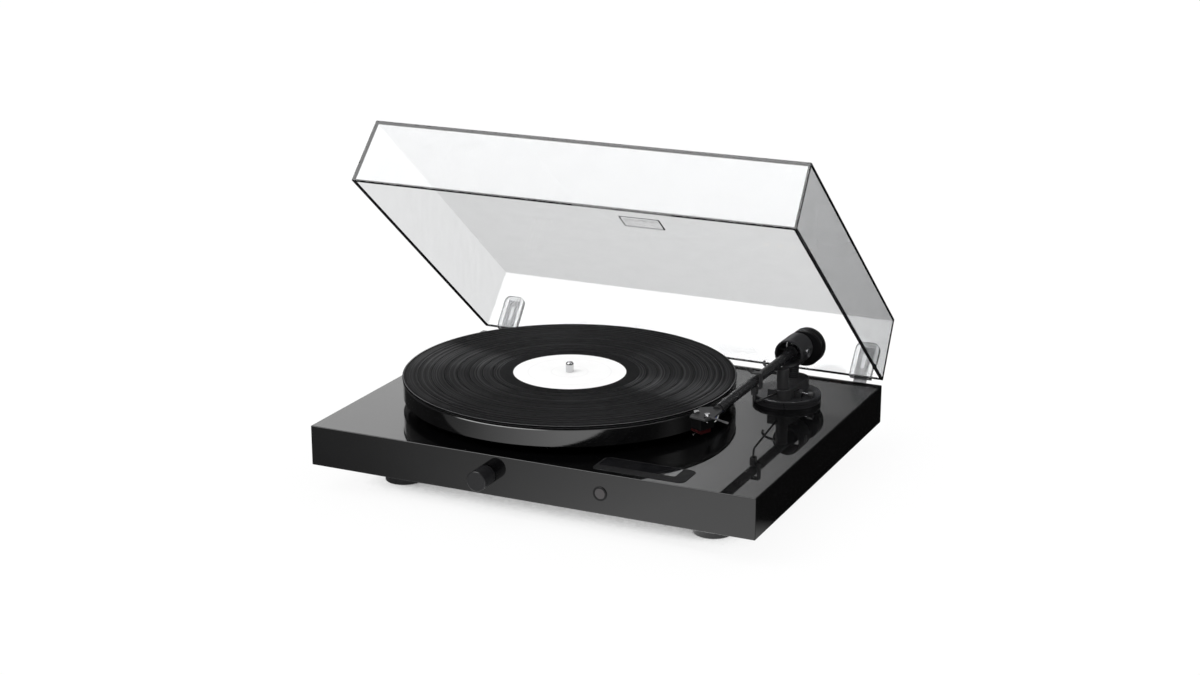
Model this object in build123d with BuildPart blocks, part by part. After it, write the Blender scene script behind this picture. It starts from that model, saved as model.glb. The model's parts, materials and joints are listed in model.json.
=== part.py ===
from build123d import *
import os
from math import acos, atan2, cos, radians, sin

# Record player with a built-in amplifier: a block plinth on four feet, a belt-driven platter,
# a straight tonearm with a gimbal bearing, and a hinged clear dust cover standing open.
# Lengths are millimetres and angles degrees. X runs to the right, Y to the back, Z up.

# ---------------------------------------------------------------- driving dimensions
# Running and seating clearances
shaft_clearance = 0.05
part_gap = 0.4

# Plinth
plinth_width = 415.0
plinth_depth = 319.0
plinth_height = 36.0
plinth_edge = 0.8
deck_skin = 8.0
cover_thickness = 3.0
cover_inset_x = 32.5
cover_inset_y = 9.5
cover_corner = 12.0
cover_screw_inset = 7.5
cover_screw_from_end = 34.5
wall_front = 13.5
wall_back = 19.5
wall_right = 47.5
bay_width = 136.0
duct_width = 24.0
island_radius = 13.0

# Feet
foot_radius = 17.2
foot_height = 24.0
foot_edge = 0.8
foot_inset_x = 59.4
foot_inset_y = 57.8
foot_inset_back = 68.5
pad_radius = 13.5
pad_thickness = 2.6
pad_recess = 1.8
foot_screw_radius = 2.5
foot_screw_length = 32.0
foot_screw_head_radius = 5.0
foot_screw_head = 3.0

# Platter, record and drive
record_radius = 150.0
record_overhang = 0.5
platter_shift_x = -34.8
platter_shift_y = 1.6
platter_gap = 6.5
platter_height = 16.6
platter_lip = 1.0
platter_foot_edge = 1.4
platter_recess_radius = 120.0
platter_web = 6.6
mat_margin = 2.5
mat_thickness = 1.5
record_thickness = 1.6
record_edge = 0.5
label_radius = 50.8
label_thickness = 0.2
spindle_radius = 3.6
spindle_rise = 9.4
spindle_nose = 2.6
bearing_shaft_radius = 4.0
bearing_wall = 3.2
bearing_flange_radius = 20.0
bearing_flange = 3.0
bearing_screw_circle = 16.2
bearing_floor = 1.5
sub_platter_radius = 62.0
sub_platter_rim = 9.0
sub_platter_rim_width = 5.0
sub_platter_disc = 4.0
hub_radius = 12.0
belt_width = 4.5
belt_thickness = 0.8
belt_height = 10.8
belt_gap = 0.3
motor_distance = 90.0
motor_angle = 150.0
pulley_radius = 8.0
pulley_flange = 1.4
pulley_flange_height = 1.2
motor_radius = 21.0
motor_height = 20.0
motor_shaft_radius = 1.5
motor_shaft_depth = 16.0
motor_shaft_hole = 2.3
motor_bay_clearance = 10.0
motor_ear_width = 8.0
motor_ear_thickness = 2.0
motor_screw_spacing = 50.0

# Machine screws: one thread and head, two lengths
screw_radius = 1.5
screw_head_radius = 2.9
screw_head = 1.8
screw_short = 8.0
screw_long = 12.0
drive_radius = 1.2
drive_depth = 0.9

# Front controls
knob_radius = 8.85
knob_length = 18.2
knob_standoff = 0.8
knob_edge = 0.6
knob_wall = 1.8
knob_pocket = 12.0
knob_boss = 1.6
knob_drop = 18.0
encoder_size = 13.0
encoder_depth = 8.0
encoder_cap = 1.5
bushing_radius = 4.5
encoder_shaft_radius = 3.0
encoder_shaft_grip = 10.0
rotor_radius = 5.0
rotor_length = 4.0
sensor_from_right = 136.8
sensor_ring_radius = 6.3
sensor_ring_proud = 0.8
sensor_ring_edge = 0.3
sensor_lens_radius = 4.6
sensor_lens_depth = 9.0
sensor_lens_recess = 0.3
display_from_right = 107.0
display_from_front = 22.15
display_width = 83.0
display_depth = 30.7
display_corner = 6.0
display_thickness = 2.0
display_proud = 0.5
window_width = 69.0
window_depth = 19.0
window_shift_x = -5.0
window_shift_y = 4.8
window_corner = 1.5
window_drop = 0.2
window_thickness = 1.2
module_inset = 1.5
module_thickness = 3.0

# Electronics and rear sockets
board_width = 116.0
board_depth = 110.0
board_thickness = 1.6
board_standoff = 3.0
board_inset = 8.0
standoff_radius = 3.0
capacitor_radius = 6.5
capacitor_height = 15.0
capacitor_pitch = 18.0
heat_sink_length = 50.0
heat_sink_height = 15.0
heat_sink_base = 3.0
fin_thickness = 1.6
fin_pitch = 4.5
fin_count = 6
panel_from_right = 112.0
panel_width = 142.0
panel_height = 26.0
panel_thickness = 2.0
panel_lip_x = 6.0
panel_lip_y = 3.5
panel_screw_inset = 4.0
rca_pitch = 14.0
rca_radius = 4.2
rca_length = 9.0
rca_bore = 1.6
rca_bore_depth = 8.0
rca_flange_radius = 5.4
rca_flange = 1.2
post_pitch = 13.0
post_radius = 5.2
post_length = 11.0
post_bore = 2.0
post_bore_depth = 18.0
post_groove = 0.5
inlet_size = 11.0
inlet_proud = 1.0
inlet_bore = 2.8
inlet_pin = 1.0
inlet_depth = 10.0
socket_depth = 12.0
inlet_shift = -56.0
rca_shift = -21.0
post_shift = 39.0

# Tonearm
spindle_to_pivot_x = 176.8
spindle_to_pivot_y = 98.9
arm_height = 41.2
base_radius = 30.8
base_height = 7.2
base_edge = 0.7
base_groove = 0.5
base_groove_height = 0.8
base_ahead = 15.4
base_screw_circle = 24.0
block_top = 16.7
block_edge = 0.5
block_rear_radius = 14.5
lift_right = 3.4
lift_ahead = 35.8
lift_block_radius = 7.4
lift_post_radius = 5.4
lift_post_top = 35.3
lift_post_edge = 0.6
lift_rod_radius = 2.0
lift_rod_length = 8.0
lift_bar_radius = 1.2
lift_bar_height = 33.0
lift_bar_bend = (-14.1, -30.5)
lift_bar_tip = (-21.4, -17.4)
pillar_radius = 5.2
pillar_groove = 0.5
pillar_groove_pitch = 1.8
pillar_groove_count = 4
pillar_floor = 2.0
yaw_pin_radius = 2.5
housing_radius = 13.5
housing_wall = 1.7
housing_length = 27.0
housing_edge = 0.8
housing_foot = 1.6
pivot_screw_radius = 1.4
pivot_head_radius = 3.7
pivot_head_proud = 0.5
pivot_head_seat = 0.9
pivot_socket = 2.2
pivot_block_radius = 6.4
pivot_block_length = 15.0
tube_radius = 4.3
tube_wall = 0.8
stub_radius = 4.0
stub_rear = 38.5
weight_radius = 16.9
weight_length = 13.0
weight_rear = 40.0
weight_drop = 5.4
weight_edge = 0.9
weight_groove = 0.6
plate_rise = 1.4
plate_thickness = 1.5
plate_edge = 0.3
shell_shape = [(6.6, -13.2), (-12.5, -14.5), (-18.3, -14.2), (-23.8, -5.7), (-23.8, 2.5), (-17.7, 5.8), (1.6, 6.5),
               (10.5, 2.2)]
plug_length = 12.0
plug_neck = 4.0
shell_corner = 1.0
plug_flat = 1.0
offset_angle = 23.5
mount_ahead = 204.0
mount_left = 5.0
mount_spacing = 12.7
slot_length = 7.0
slot_width = 2.8
cartridge_screw_radius = 1.2
cartridge_head_radius = 2.3
cartridge_head = 2.0
cartridge_screw_grip = 3.0
cartridge_drive_width = 0.6
cartridge_flange = 2.0
cartridge_flange_width = 17.5
cartridge_flange_length = 8.0
cartridge_width = 12.0
cartridge_front = 7.0
cartridge_back = 9.0
cartridge_height = 9.5
cartridge_edge = 0.4
stylus_width = 8.0
stylus_front = 8.2
stylus_toe = 4.5
stylus_lip = 1.4
stylus_back = 6.5
stylus_height = 4.0
tip_ahead = 9.5
tip_radius = 0.3
tip_height = 0.9
cantilever_radius = 0.3
cantilever_start = 5.0
cantilever_drop = 2.2
record_to_tip = 0.6
terminal_radius = 0.7
terminal_length = 4.0
terminal_pitch = 2.8
lead_radius = 0.35
lead_depth = 2.4
lead_spread = 1.0
finger_radius = 0.8
finger_length = 24.6
finger_pad_length = 4.5
finger_pad_width = 2.6
finger_pad_thickness = 0.9
finger_pad_corner = 1.2
finger_washer = 0.8
finger_tab = 3.2

# Arm rest
rest_ahead = 96.2
rest_length = 6.0
rest_wall = 1.3
rest_side_gap = 0.5
rest_under_gap = 0.75
rest_over_gap = 2.3
rest_column_width = 4.6
rest_column_bottom = 28.9
rest_low_corner = 2.3
rest_high_corner = 3.7
rest_tip_reach = 6.0
rest_tip_rise = 2.6
rod_radius = 0.9
rod_bend = 4.0
rod_corner_height = 21.5
rod_end_height = 13.6
rod_end_ahead = 39.5
rod_level_run = 6.0
rod_seat = 4.0
fin_left = 8.5
fin_ahead = 42.0
fin_depth = 8.0
fin_top = 16.2

# Cue lever
lever_right = 15.5
lever_ahead = 23.5
lever_height = 10.4
lever_hub_radius = 2.4
lever_hub_length = 5.0
lever_pin_radius = 1.0
lever_rod_radius = 1.1
lever_length = 13.0
lever_knob_radius = 2.7
lever_knob_length = 5.0
lever_ear = 1.6
lever_ear_radius = 2.2
lever_ear_reach = 5.0
lever_knob_edge = 0.6

# Dust cover and hinges
lid_open_angle = 39.2
lid_inset_x = 0.65
lid_inset_y = 1.7
lid_rim_gap = 1.0
lid_height = 61.0
lid_wall = 3.0
lid_draft_side = 2.9
lid_draft_front = 2.05
lid_draft_rear = 1.7
lid_edge = 0.8
badge_width = 39.0
badge_depth = 19.0
badge_thickness = 1.5
badge_edge = 0.3
pin_back = 4.5
pin_drop = 7.5
hinge_inset = 23.5
sleeve_width = 20.5
sleeve_height = 34.5
sleeve_thickness = 5.4
sleeve_inner_wall = 2.4
sleeve_corner = 6.0
sleeve_cap = 2.0
tongue_thickness = 2.2
tongue_width = 12.0
tongue_top_gap = 4.5
tongue_slot_width = 4.0
tongue_slot_length = 16.0
tongue_slot_top = 5.0
knuckle_radius = 3.0
hinge_pin_radius = 1.5
bracket_width = 22.0
bracket_height = 27.0
bracket_top = 3.0
bracket_corner = 2.0
bracket_thickness = 1.6
bracket_notch_depth = 9.5
ear_width = 3.4
ear_radius = 3.3
hinge_screw_low = 4.5
hinge_screw_pitch = 9.0

# ---------------------------------------------------------------- places worked out from them
# Heights and places are measured from the centre of the plinth's top face
deck_z = foot_height + plinth_height
lid_width = plinth_width - 2 * lid_inset_x
lid_depth = plinth_depth - 2 * lid_inset_y
front_y = -plinth_depth / 2
back_y = plinth_depth / 2
pin_y = back_y + pin_back
pin_z = -pin_drop
hinge_x = plinth_width / 2 - hinge_inset

# The cover's rear wall, rim and roof, measured from the hinge pin along the cover's own axes
lid_rear = back_y - lid_inset_y - pin_y
lid_rim = lid_rim_gap - pin_z
lid_top = lid_rim + lid_height
tilt = radians(lid_open_angle)

# The open cover's top rear edge is the rearmost point, and the knob's face the foremost
front_reach = -front_y + knob_standoff + knob_length
rear_reach = pin_y + (lid_rear - lid_draft_rear) * cos(tilt) + lid_top * sin(tilt)
deck_y = (front_reach - rear_reach) / 2

platter_radius = record_radius - record_overhang
mat_radius = platter_radius - mat_margin
platter_x = platter_shift_x
platter_y = platter_shift_y
platter_top = platter_gap + platter_height
platter_roof = platter_top - platter_web
mat_top = platter_top + mat_thickness
record_top = mat_top + record_thickness
record_hole_radius = spindle_radius + shaft_clearance
arm_x = platter_x + spindle_to_pivot_x
pivot_y = platter_y + spindle_to_pivot_y
base_y = pivot_y - base_ahead
lift_x = arm_x + lift_right
lift_y = pivot_y - lift_ahead
bay_right = plinth_width / 2 - wall_right
bay_left = bay_right - bay_width
bay_x = (bay_left + bay_right) / 2
bay_front = front_y + wall_front
bay_rear = back_y - wall_back
motor_x = platter_x + motor_distance * cos(radians(motor_angle))
motor_y = platter_y + motor_distance * sin(radians(motor_angle))
foot_x = plinth_width / 2 - foot_inset_x
foot_y = plinth_depth / 2 - foot_inset_y
foot_back_y = plinth_depth / 2 - foot_inset_back
foot_places = [(i * foot_x, y) for i in (-1, 1) for y in (-foot_y, foot_back_y)]
panel_x = plinth_width / 2 - panel_from_right
panel_z = -plinth_height / 2
display_x = plinth_width / 2 - display_from_right
display_y = display_from_front - plinth_depth / 2
window_x = display_x + window_shift_x
window_y = display_y + window_shift_y
sensor_x = plinth_width / 2 - sensor_from_right
cover_z = cover_thickness - plinth_height
cover_width = plinth_width - 2 * cover_inset_x
cover_depth = plinth_depth - 2 * cover_inset_y
foot_bottom = pad_thickness - pad_recess - deck_z
foot_screw_seat = pad_thickness - deck_z + foot_screw_head
foot_screw_tip = foot_screw_seat + foot_screw_length
module_top = display_proud - window_drop - window_thickness
bearing_radius = bearing_shaft_radius + shaft_clearance + bearing_wall
motor_screws_at = [(i * motor_screw_spacing / 2, 0) for i in (-1, 1)]
panel_screw_x = panel_width / 2 - panel_screw_inset
shell_outline = [(mount_ahead + ahead, right) for ahead, right in shell_shape]
tube_front = shell_outline[3][0]
lever_x = arm_x + lever_right
lever_y = pivot_y - lever_ahead
ear_side = lever_hub_length / 2 + part_gap
rod_y = pivot_y - rest_ahead
rod_end_y = pivot_y - rod_end_ahead
housing_bottom = arm_height - housing_radius
pillar_top = housing_bottom - housing_foot - part_gap
yaw_pin_bottom = block_top + pillar_floor
plate_top = arm_height + plate_rise
plate_bottom = plate_top - plate_thickness
flange_bottom = plate_bottom - cartridge_flange
cartridge_bottom = plate_bottom - cartridge_height
tip_z = record_top + record_to_tip
hinge_lean = atan2(lid_draft_rear, lid_height)
knuckle_drop = lid_rim * cos(hinge_lean) - lid_rear * sin(hinge_lean)
roof_y = (2 * lid_rear - lid_draft_rear - lid_depth + lid_draft_front) / 2
bracket_notch = tongue_width + 2 * part_gap
hinge_pin_reach = bracket_notch / 2 + ear_width
cover_screw_x = plinth_width / 2 - cover_inset_x - cover_screw_inset
cover_screw_pitch = plinth_depth / 2 - cover_screw_from_end
cover_screws_at = [(i * cover_screw_x, j * cover_screw_pitch) for i in (-1, 1) for j in (-1, 0, 1)]
board_y = (bay_front + bay_rear) / 2
board_base = cover_z + board_standoff
board_top = board_base + board_thickness
standoffs_at = [(i * (board_width / 2 - board_inset), j * (board_depth / 2 - board_inset))
                for i in (-1, 1) for j in (-1, 1)]
hinge_screw_z = [-bracket_top - bracket_height + hinge_screw_low + i * hinge_screw_pitch for i in (0, 1)]


def ring_of(x, y, radius, angles):
    """Places on a circle around a centre."""
    return [(x + radius * cos(radians(a)), y + radius * sin(radians(a))) for a in angles]


bearing_screws_at = ring_of(platter_x, platter_y, bearing_screw_circle, (90, 210, 330))
base_screws_at = ring_of(arm_x, base_y, base_screw_circle, (60, 180, 300))


def level(x, y, z):
    """A horizontal plane at a place on the plinth."""
    return Plane(origin=(x, deck_y + y, deck_z + z), x_dir=(1, 0, 0), z_dir=(0, 0, 1))


def facing_front(x, y, z):
    """A vertical plane whose normal points to the front; its own x and y are X and Z."""
    return Plane(origin=(x, deck_y + y, deck_z + z), x_dir=(1, 0, 0), z_dir=(0, -1, 0))


def facing_back(x, y, z):
    """A vertical plane whose normal points to the back; its own x and y are -X and Z."""
    return Plane(origin=(x, deck_y + y, deck_z + z), x_dir=(-1, 0, 0), z_dir=(0, 1, 0))


def facing_right(x, y, z):
    """A vertical plane whose normal points to the right; its own x and y are Y and Z."""
    return Plane(origin=(x, deck_y + y, deck_z + z), x_dir=(0, 1, 0), z_dir=(1, 0, 0))


def on_arm(ahead, right, z):
    """A horizontal plane in the tonearm; its own x points ahead from the pivot and its y to the right."""
    origin = (arm_x + right, deck_y + pivot_y - ahead, deck_z + z)
    return Plane(origin=origin, x_dir=(0, -1, 0), z_dir=(0, 0, 1))


def on_cartridge(z):
    """A horizontal plane at the cartridge's mounting centre, turned by the offset angle."""
    turn = radians(offset_angle)
    origin = (arm_x - mount_left, deck_y + pivot_y - mount_ahead, deck_z + z)
    return Plane(origin=origin, x_dir=(-sin(turn), -cos(turn), 0), z_dir=(0, 0, 1))


def beside_cartridge(right):
    """A vertical plane along the cartridge; its own x points ahead and its y up."""
    base = on_cartridge(0)
    origin = base.origin + base.y_dir * right
    return Plane(origin=origin, x_dir=base.x_dir, z_dir=base.y_dir * -1)


def on_lid(x, y, z):
    """A plane parallel to the open cover's rim; y and z are measured from the hinge pin."""
    up = Vector(0, sin(tilt), cos(tilt))
    back = Vector(0, cos(tilt), -sin(tilt))
    pin = Vector(x, deck_y + pin_y, deck_z + pin_z)
    return Plane(origin=pin + back * y + up * z, x_dir=(1, 0, 0), z_dir=up)


def on_rear_wall(x, out):
    """A plane along the cover's drafted rear wall, its x to the left and its y up from the rim."""
    lean = hinge_lean - tilt
    outward = Vector(0, cos(lean), sin(lean))
    foot = on_lid(x, lid_rear, lid_rim).origin
    return Plane(origin=foot + outward * out, x_dir=(-1, 0, 0), z_dir=outward)


def across_hinge(x):
    """A vertical plane through a hinge pin's axis; its own x and y are Y and Z."""
    return facing_right(x, pin_y, pin_z)


def keep(piece, name):
    """Labels a finished piece and writes it."""
    piece.label = name
    export_step(piece, f"parts/{name}.step")


os.makedirs("parts", exist_ok=True)

# ---------------------------------------------------------------- plinth and covers
with BuildPart() as plinth:
    with BuildSketch(level(0, 0, -plinth_height)):
        Rectangle(plinth_width, plinth_depth)
    extrude(amount=plinth_height)
    fillet(plinth.edges(), plinth_edge)
    # rebate for the bottom cover
    with BuildSketch(level(0, 0, -plinth_height)):
        RectangleRounded(cover_width, cover_depth, cover_corner)
    extrude(amount=cover_thickness, mode=Mode.SUBTRACT)
    # electronics bay, motor bay and ducts, with solid islands over the feet
    with BuildSketch(level(0, 0, cover_z)):
        with Locations((bay_x, (bay_front + bay_rear) / 2)):
            Rectangle(bay_width, bay_rear - bay_front)
        with Locations((motor_x, motor_y)):
            Circle(motor_radius + motor_bay_clearance)
        with Locations(((motor_x + bay_left) / 2, motor_y + duct_width)):
            Rectangle(bay_left - motor_x, duct_width)
        with Locations(((platter_x + bay_left) / 2, bay_front + duct_width / 2)):
            Rectangle(bay_left - platter_x + 2 * duct_width, duct_width)
        with Locations(*foot_places):
            Circle(island_radius, mode=Mode.SUBTRACT)
    extrude(amount=-cover_z - deck_skin, mode=Mode.SUBTRACT)
    # bores of the knob and the sensor through the front wall
    with BuildSketch(facing_front(0, bay_front, -knob_drop)):
        with Locations((platter_x, 0)):
            Circle(bushing_radius)
        with Locations((sensor_x, 0)):
            Circle(sensor_lens_radius)
    extrude(amount=wall_front, mode=Mode.SUBTRACT)
    # display: a shallow recess for the bezel and a well for the module under its window
    with BuildSketch(level(display_x, display_y, display_proud - display_thickness)):
        RectangleRounded(display_width, display_depth, display_corner)
    extrude(amount=display_thickness, mode=Mode.SUBTRACT)
    with BuildSketch(level(window_x, window_y, module_top - module_thickness)):
        Rectangle(window_width - 2 * module_inset, window_depth - 2 * module_inset)
    extrude(amount=module_thickness, mode=Mode.SUBTRACT)
    # main bearing, motor shaft and the threads of their screws
    with BuildSketch(level(platter_x, platter_y, cover_z)):
        Circle(bearing_radius)
    extrude(amount=-cover_z, mode=Mode.SUBTRACT)
    with BuildSketch(level(motor_x, motor_y, -deck_skin)):
        Circle(motor_shaft_hole)
    extrude(amount=deck_skin, mode=Mode.SUBTRACT)
    with BuildSketch(level(motor_x, motor_y, -deck_skin)):
        with Locations(*motor_screws_at):
            Circle(screw_radius)
    extrude(amount=screw_short - motor_ear_thickness, mode=Mode.SUBTRACT)
    with BuildSketch(level(0, 0, 0)):
        with Locations(*bearing_screws_at):
            Circle(screw_radius)
    extrude(amount=bearing_flange - screw_short, mode=Mode.SUBTRACT)
    with BuildSketch(level(0, 0, -deck_skin)):
        with Locations(*base_screws_at):
            Circle(screw_radius)
    extrude(amount=deck_skin, mode=Mode.SUBTRACT)
    # wells that keep the heads of the arm base's screws free
    with BuildSketch(level(0, 0, cover_z)):
        with Locations(*base_screws_at):
            Circle(screw_head_radius + shaft_clearance)
    extrude(amount=-cover_z - deck_skin, mode=Mode.SUBTRACT)
    with BuildSketch(level(0, 0, cover_z)):
        with Locations(*foot_places):
            Circle(foot_screw_radius)
    extrude(amount=foot_screw_tip - cover_z, mode=Mode.SUBTRACT)
    with BuildSketch(level(0, 0, cover_z)):
        with Locations(*cover_screws_at):
            Circle(screw_radius)
    extrude(amount=screw_short - cover_thickness, mode=Mode.SUBTRACT)
    # rear panel: a rebate with a window behind it
    with BuildSketch(facing_front(panel_x, back_y, panel_z)):
        Rectangle(panel_width, panel_height)
    extrude(amount=panel_thickness, mode=Mode.SUBTRACT)
    with BuildSketch(facing_front(panel_x, back_y, panel_z)):
        Rectangle(panel_width - 2 * panel_lip_x, panel_height - 2 * panel_lip_y)
    extrude(amount=wall_back, mode=Mode.SUBTRACT)
    # threads of the panel's and the hinges' screws
    with BuildSketch(facing_front(panel_x, back_y, panel_z)):
        with Locations((-panel_screw_x, 0), (panel_screw_x, 0)):
            Circle(screw_radius)
    extrude(amount=screw_short, mode=Mode.SUBTRACT)
    with BuildSketch(facing_front(0, back_y, 0)):
        with Locations(*[(i * hinge_x, z) for i in (-1, 1) for z in hinge_screw_z]):
            Circle(screw_radius)
    extrude(amount=screw_short - bracket_thickness, mode=Mode.SUBTRACT)
keep(plinth.part, "plinth")

with BuildPart() as base_plate:
    with BuildSketch(level(0, 0, -plinth_height)):
        RectangleRounded(cover_width - part_gap, cover_depth - part_gap, cover_corner - part_gap / 2)
        with Locations(*foot_places):
            Circle(foot_screw_radius, mode=Mode.SUBTRACT)
        with Locations(*cover_screws_at):
            Circle(screw_radius, mode=Mode.SUBTRACT)
    extrude(amount=cover_thickness)
    with BuildSketch(level(bay_x, board_y, cover_z)):
        with Locations(*standoffs_at):
            Circle(standoff_radius)
    extrude(amount=board_standoff)
    with BuildSketch(level(bay_x, board_y, board_base)):
        with Locations(*standoffs_at):
            Circle(screw_radius)
    extrude(amount=board_thickness)
keep(base_plate.part, "base_plate")

with BuildPart() as cover_screws:
    with BuildSketch(level(0, 0, -plinth_height - screw_head)):
        with Locations(*cover_screws_at):
            Circle(screw_head_radius)
    extrude(amount=screw_head)
    with BuildSketch(level(0, 0, -plinth_height)):
        with Locations(*cover_screws_at):
            Circle(screw_radius)
    extrude(amount=screw_short)
    with BuildSketch(level(0, 0, -plinth_height - screw_head)):
        with Locations(*cover_screws_at):
            RegularPolygon(drive_radius, 6)
    extrude(amount=drive_depth, mode=Mode.SUBTRACT)
keep(cover_screws.part, "cover_screws")

# ---------------------------------------------------------------- feet
with BuildPart() as feet:
    with BuildSketch(level(0, 0, foot_bottom)):
        with Locations(*foot_places):
            Circle(foot_radius)
    extrude(amount=-plinth_height - foot_bottom)
    fillet(feet.edges().group_by(Axis.Z)[0], foot_edge)
    with BuildSketch(level(0, 0, foot_bottom)):
        with Locations(*foot_places):
            Circle(pad_radius)
    extrude(amount=pad_recess, mode=Mode.SUBTRACT)
    with BuildSketch(level(0, 0, foot_bottom)):
        with Locations(*foot_places):
            Circle(foot_screw_head_radius)
    extrude(amount=foot_screw_seat - foot_bottom, mode=Mode.SUBTRACT)
    with BuildSketch(level(0, 0, foot_bottom)):
        with Locations(*foot_places):
            Circle(foot_screw_radius)
    extrude(amount=-plinth_height - foot_bottom, mode=Mode.SUBTRACT)
keep(feet.part, "feet")

with BuildPart() as foot_pads:
    with BuildSketch(level(0, 0, -deck_z)):
        with Locations(*foot_places):
            Circle(pad_radius)
    extrude(amount=pad_thickness)
    chamfer(foot_pads.edges().group_by(Axis.Z)[0], plinth_edge)
keep(foot_pads.part, "foot_pads")

with BuildPart() as foot_screws:
    with BuildSketch(level(0, 0, foot_screw_seat - foot_screw_head)):
        with Locations(*foot_places):
            Circle(foot_screw_head_radius)
    extrude(amount=foot_screw_head)
    with BuildSketch(level(0, 0, foot_screw_seat)):
        with Locations(*foot_places):
            Circle(foot_screw_radius)
    extrude(amount=foot_screw_length)
keep(foot_screws.part, "foot_screws")

# ---------------------------------------------------------------- bearing, platter and record
with BuildPart() as bearing_housing:
    with BuildSketch(level(platter_x, platter_y, 0)):
        Circle(bearing_flange_radius)
    extrude(amount=bearing_flange)
    with BuildSketch(level(platter_x, platter_y, cover_z)):
        Circle(bearing_radius)
    extrude(amount=-cover_z)
    with BuildSketch(level(platter_x, platter_y, cover_z + bearing_floor)):
        Circle(bearing_shaft_radius + shaft_clearance)
    extrude(amount=bearing_flange - cover_z - bearing_floor, mode=Mode.SUBTRACT)
    with BuildSketch(level(0, 0, 0)):
        with Locations(*bearing_screws_at):
            Circle(screw_radius)
    extrude(amount=bearing_flange, mode=Mode.SUBTRACT)
keep(bearing_housing.part, "bearing_housing")

with BuildPart() as deck_screws:
    with BuildSketch(level(0, 0, bearing_flange - screw_short)):
        with Locations(*bearing_screws_at):
            Circle(screw_radius)
    extrude(amount=screw_short)
    with BuildSketch(level(0, 0, bearing_flange)):
        with Locations(*bearing_screws_at):
            Circle(screw_head_radius)
            RegularPolygon(drive_radius, 6, mode=Mode.SUBTRACT)
    extrude(amount=screw_head)
    with BuildSketch(level(0, 0, -deck_skin)):
        with Locations(*base_screws_at):
            Circle(screw_radius)
    extrude(amount=screw_long)
    with BuildSketch(level(0, 0, -deck_skin - screw_head)):
        with Locations(*base_screws_at):
            Circle(screw_head_radius)
    extrude(amount=screw_head)
keep(deck_screws.part, "deck_screws")

with BuildPart() as spindle:
    with BuildSketch(level(platter_x, platter_y, cover_z + bearing_floor)):
        Circle(bearing_shaft_radius)
    extrude(amount=platter_roof - cover_z - bearing_floor)
    chamfer(spindle.edges().group_by(Axis.Z)[0], plinth_edge)
    with BuildSketch(level(platter_x, platter_y, platter_roof)):
        Circle(spindle_radius)
    extrude(amount=record_top + spindle_rise - platter_roof)
    fillet(spindle.edges().group_by(Axis.Z)[-1], spindle_nose)
keep(spindle.part, "spindle")

with BuildPart() as sub_platter:
    with BuildSketch(level(platter_x, platter_y, platter_roof - sub_platter_rim)):
        Circle(sub_platter_radius)
        Circle(sub_platter_radius - sub_platter_rim_width, mode=Mode.SUBTRACT)
    extrude(amount=sub_platter_rim)
    with BuildSketch(level(platter_x, platter_y, platter_roof - sub_platter_disc)):
        Circle(sub_platter_radius)
    extrude(amount=sub_platter_disc)
    with BuildSketch(level(platter_x, platter_y, bearing_flange + 1.5 * part_gap)):
        Circle(hub_radius)
    extrude(amount=platter_roof - bearing_flange - 1.5 * part_gap)
    with BuildSketch(level(platter_x, platter_y, 0)):
        Circle(bearing_shaft_radius)
    extrude(amount=platter_roof, mode=Mode.SUBTRACT)
keep(sub_platter.part, "sub_platter")

with BuildPart() as platter:
    with BuildSketch(level(platter_x, platter_y, platter_gap)):
        Circle(platter_radius)
    extrude(amount=platter_height)
    chamfer(platter.edges().group_by(Axis.Z)[-1], platter_lip)
    chamfer(platter.edges().group_by(Axis.Z)[0], platter_foot_edge)
    with BuildSketch(level(platter_x, platter_y, platter_gap)):
        Circle(platter_recess_radius)
    extrude(amount=platter_roof - platter_gap, mode=Mode.SUBTRACT)
    with BuildSketch(level(platter_x, platter_y, platter_roof)):
        Circle(spindle_radius)
    extrude(amount=platter_web, mode=Mode.SUBTRACT)
keep(platter.part, "platter")

with BuildPart() as platter_mat:
    with BuildSketch(level(platter_x, platter_y, platter_top)):
        Circle(mat_radius)
        Circle(spindle_radius, mode=Mode.SUBTRACT)
    extrude(amount=mat_thickness)
keep(platter_mat.part, "platter_mat")

with BuildPart() as record:
    with BuildSketch(level(platter_x, platter_y, mat_top)):
        Circle(record_radius)
        Circle(record_hole_radius, mode=Mode.SUBTRACT)
    extrude(amount=record_thickness)
    chamfer(record.edges().group_by(SortBy.LENGTH)[-1], record_edge)
    for height in (mat_top, record_top - label_thickness):
        with BuildSketch(level(platter_x, platter_y, height)):
            Circle(label_radius)
        extrude(amount=label_thickness, mode=Mode.SUBTRACT)
keep(record.part, "record")

with BuildPart() as record_labels:
    for height in (mat_top, record_top - label_thickness):
        with BuildSketch(level(platter_x, platter_y, height)):
            Circle(label_radius)
            Circle(record_hole_radius, mode=Mode.SUBTRACT)
        extrude(amount=label_thickness)
keep(record_labels.part, "record_labels")

# ---------------------------------------------------------------- motor and belt
belt_wheel = sub_platter_radius + belt_gap
belt_pulley = pulley_radius + belt_gap
belt_low = belt_height - belt_width / 2
pulley_low = belt_low - part_gap - pulley_flange_height
pulley_high = belt_low + belt_width + part_gap + pulley_flange_height
turn = radians(motor_angle)
spread = acos((belt_wheel - belt_pulley) / motor_distance)


def belt_loop(extra):
    """The four points where a belt's straight runs leave its two wheels, wheel then pulley."""
    points = []
    for side in (-1, 1):
        for x, y, radius in ((platter_x, platter_y, belt_wheel), (motor_x, motor_y, belt_pulley)):
            angle = turn + side * spread
            points.append((x + (radius + extra) * cos(angle), y + (radius + extra) * sin(angle)))
    return points


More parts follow.
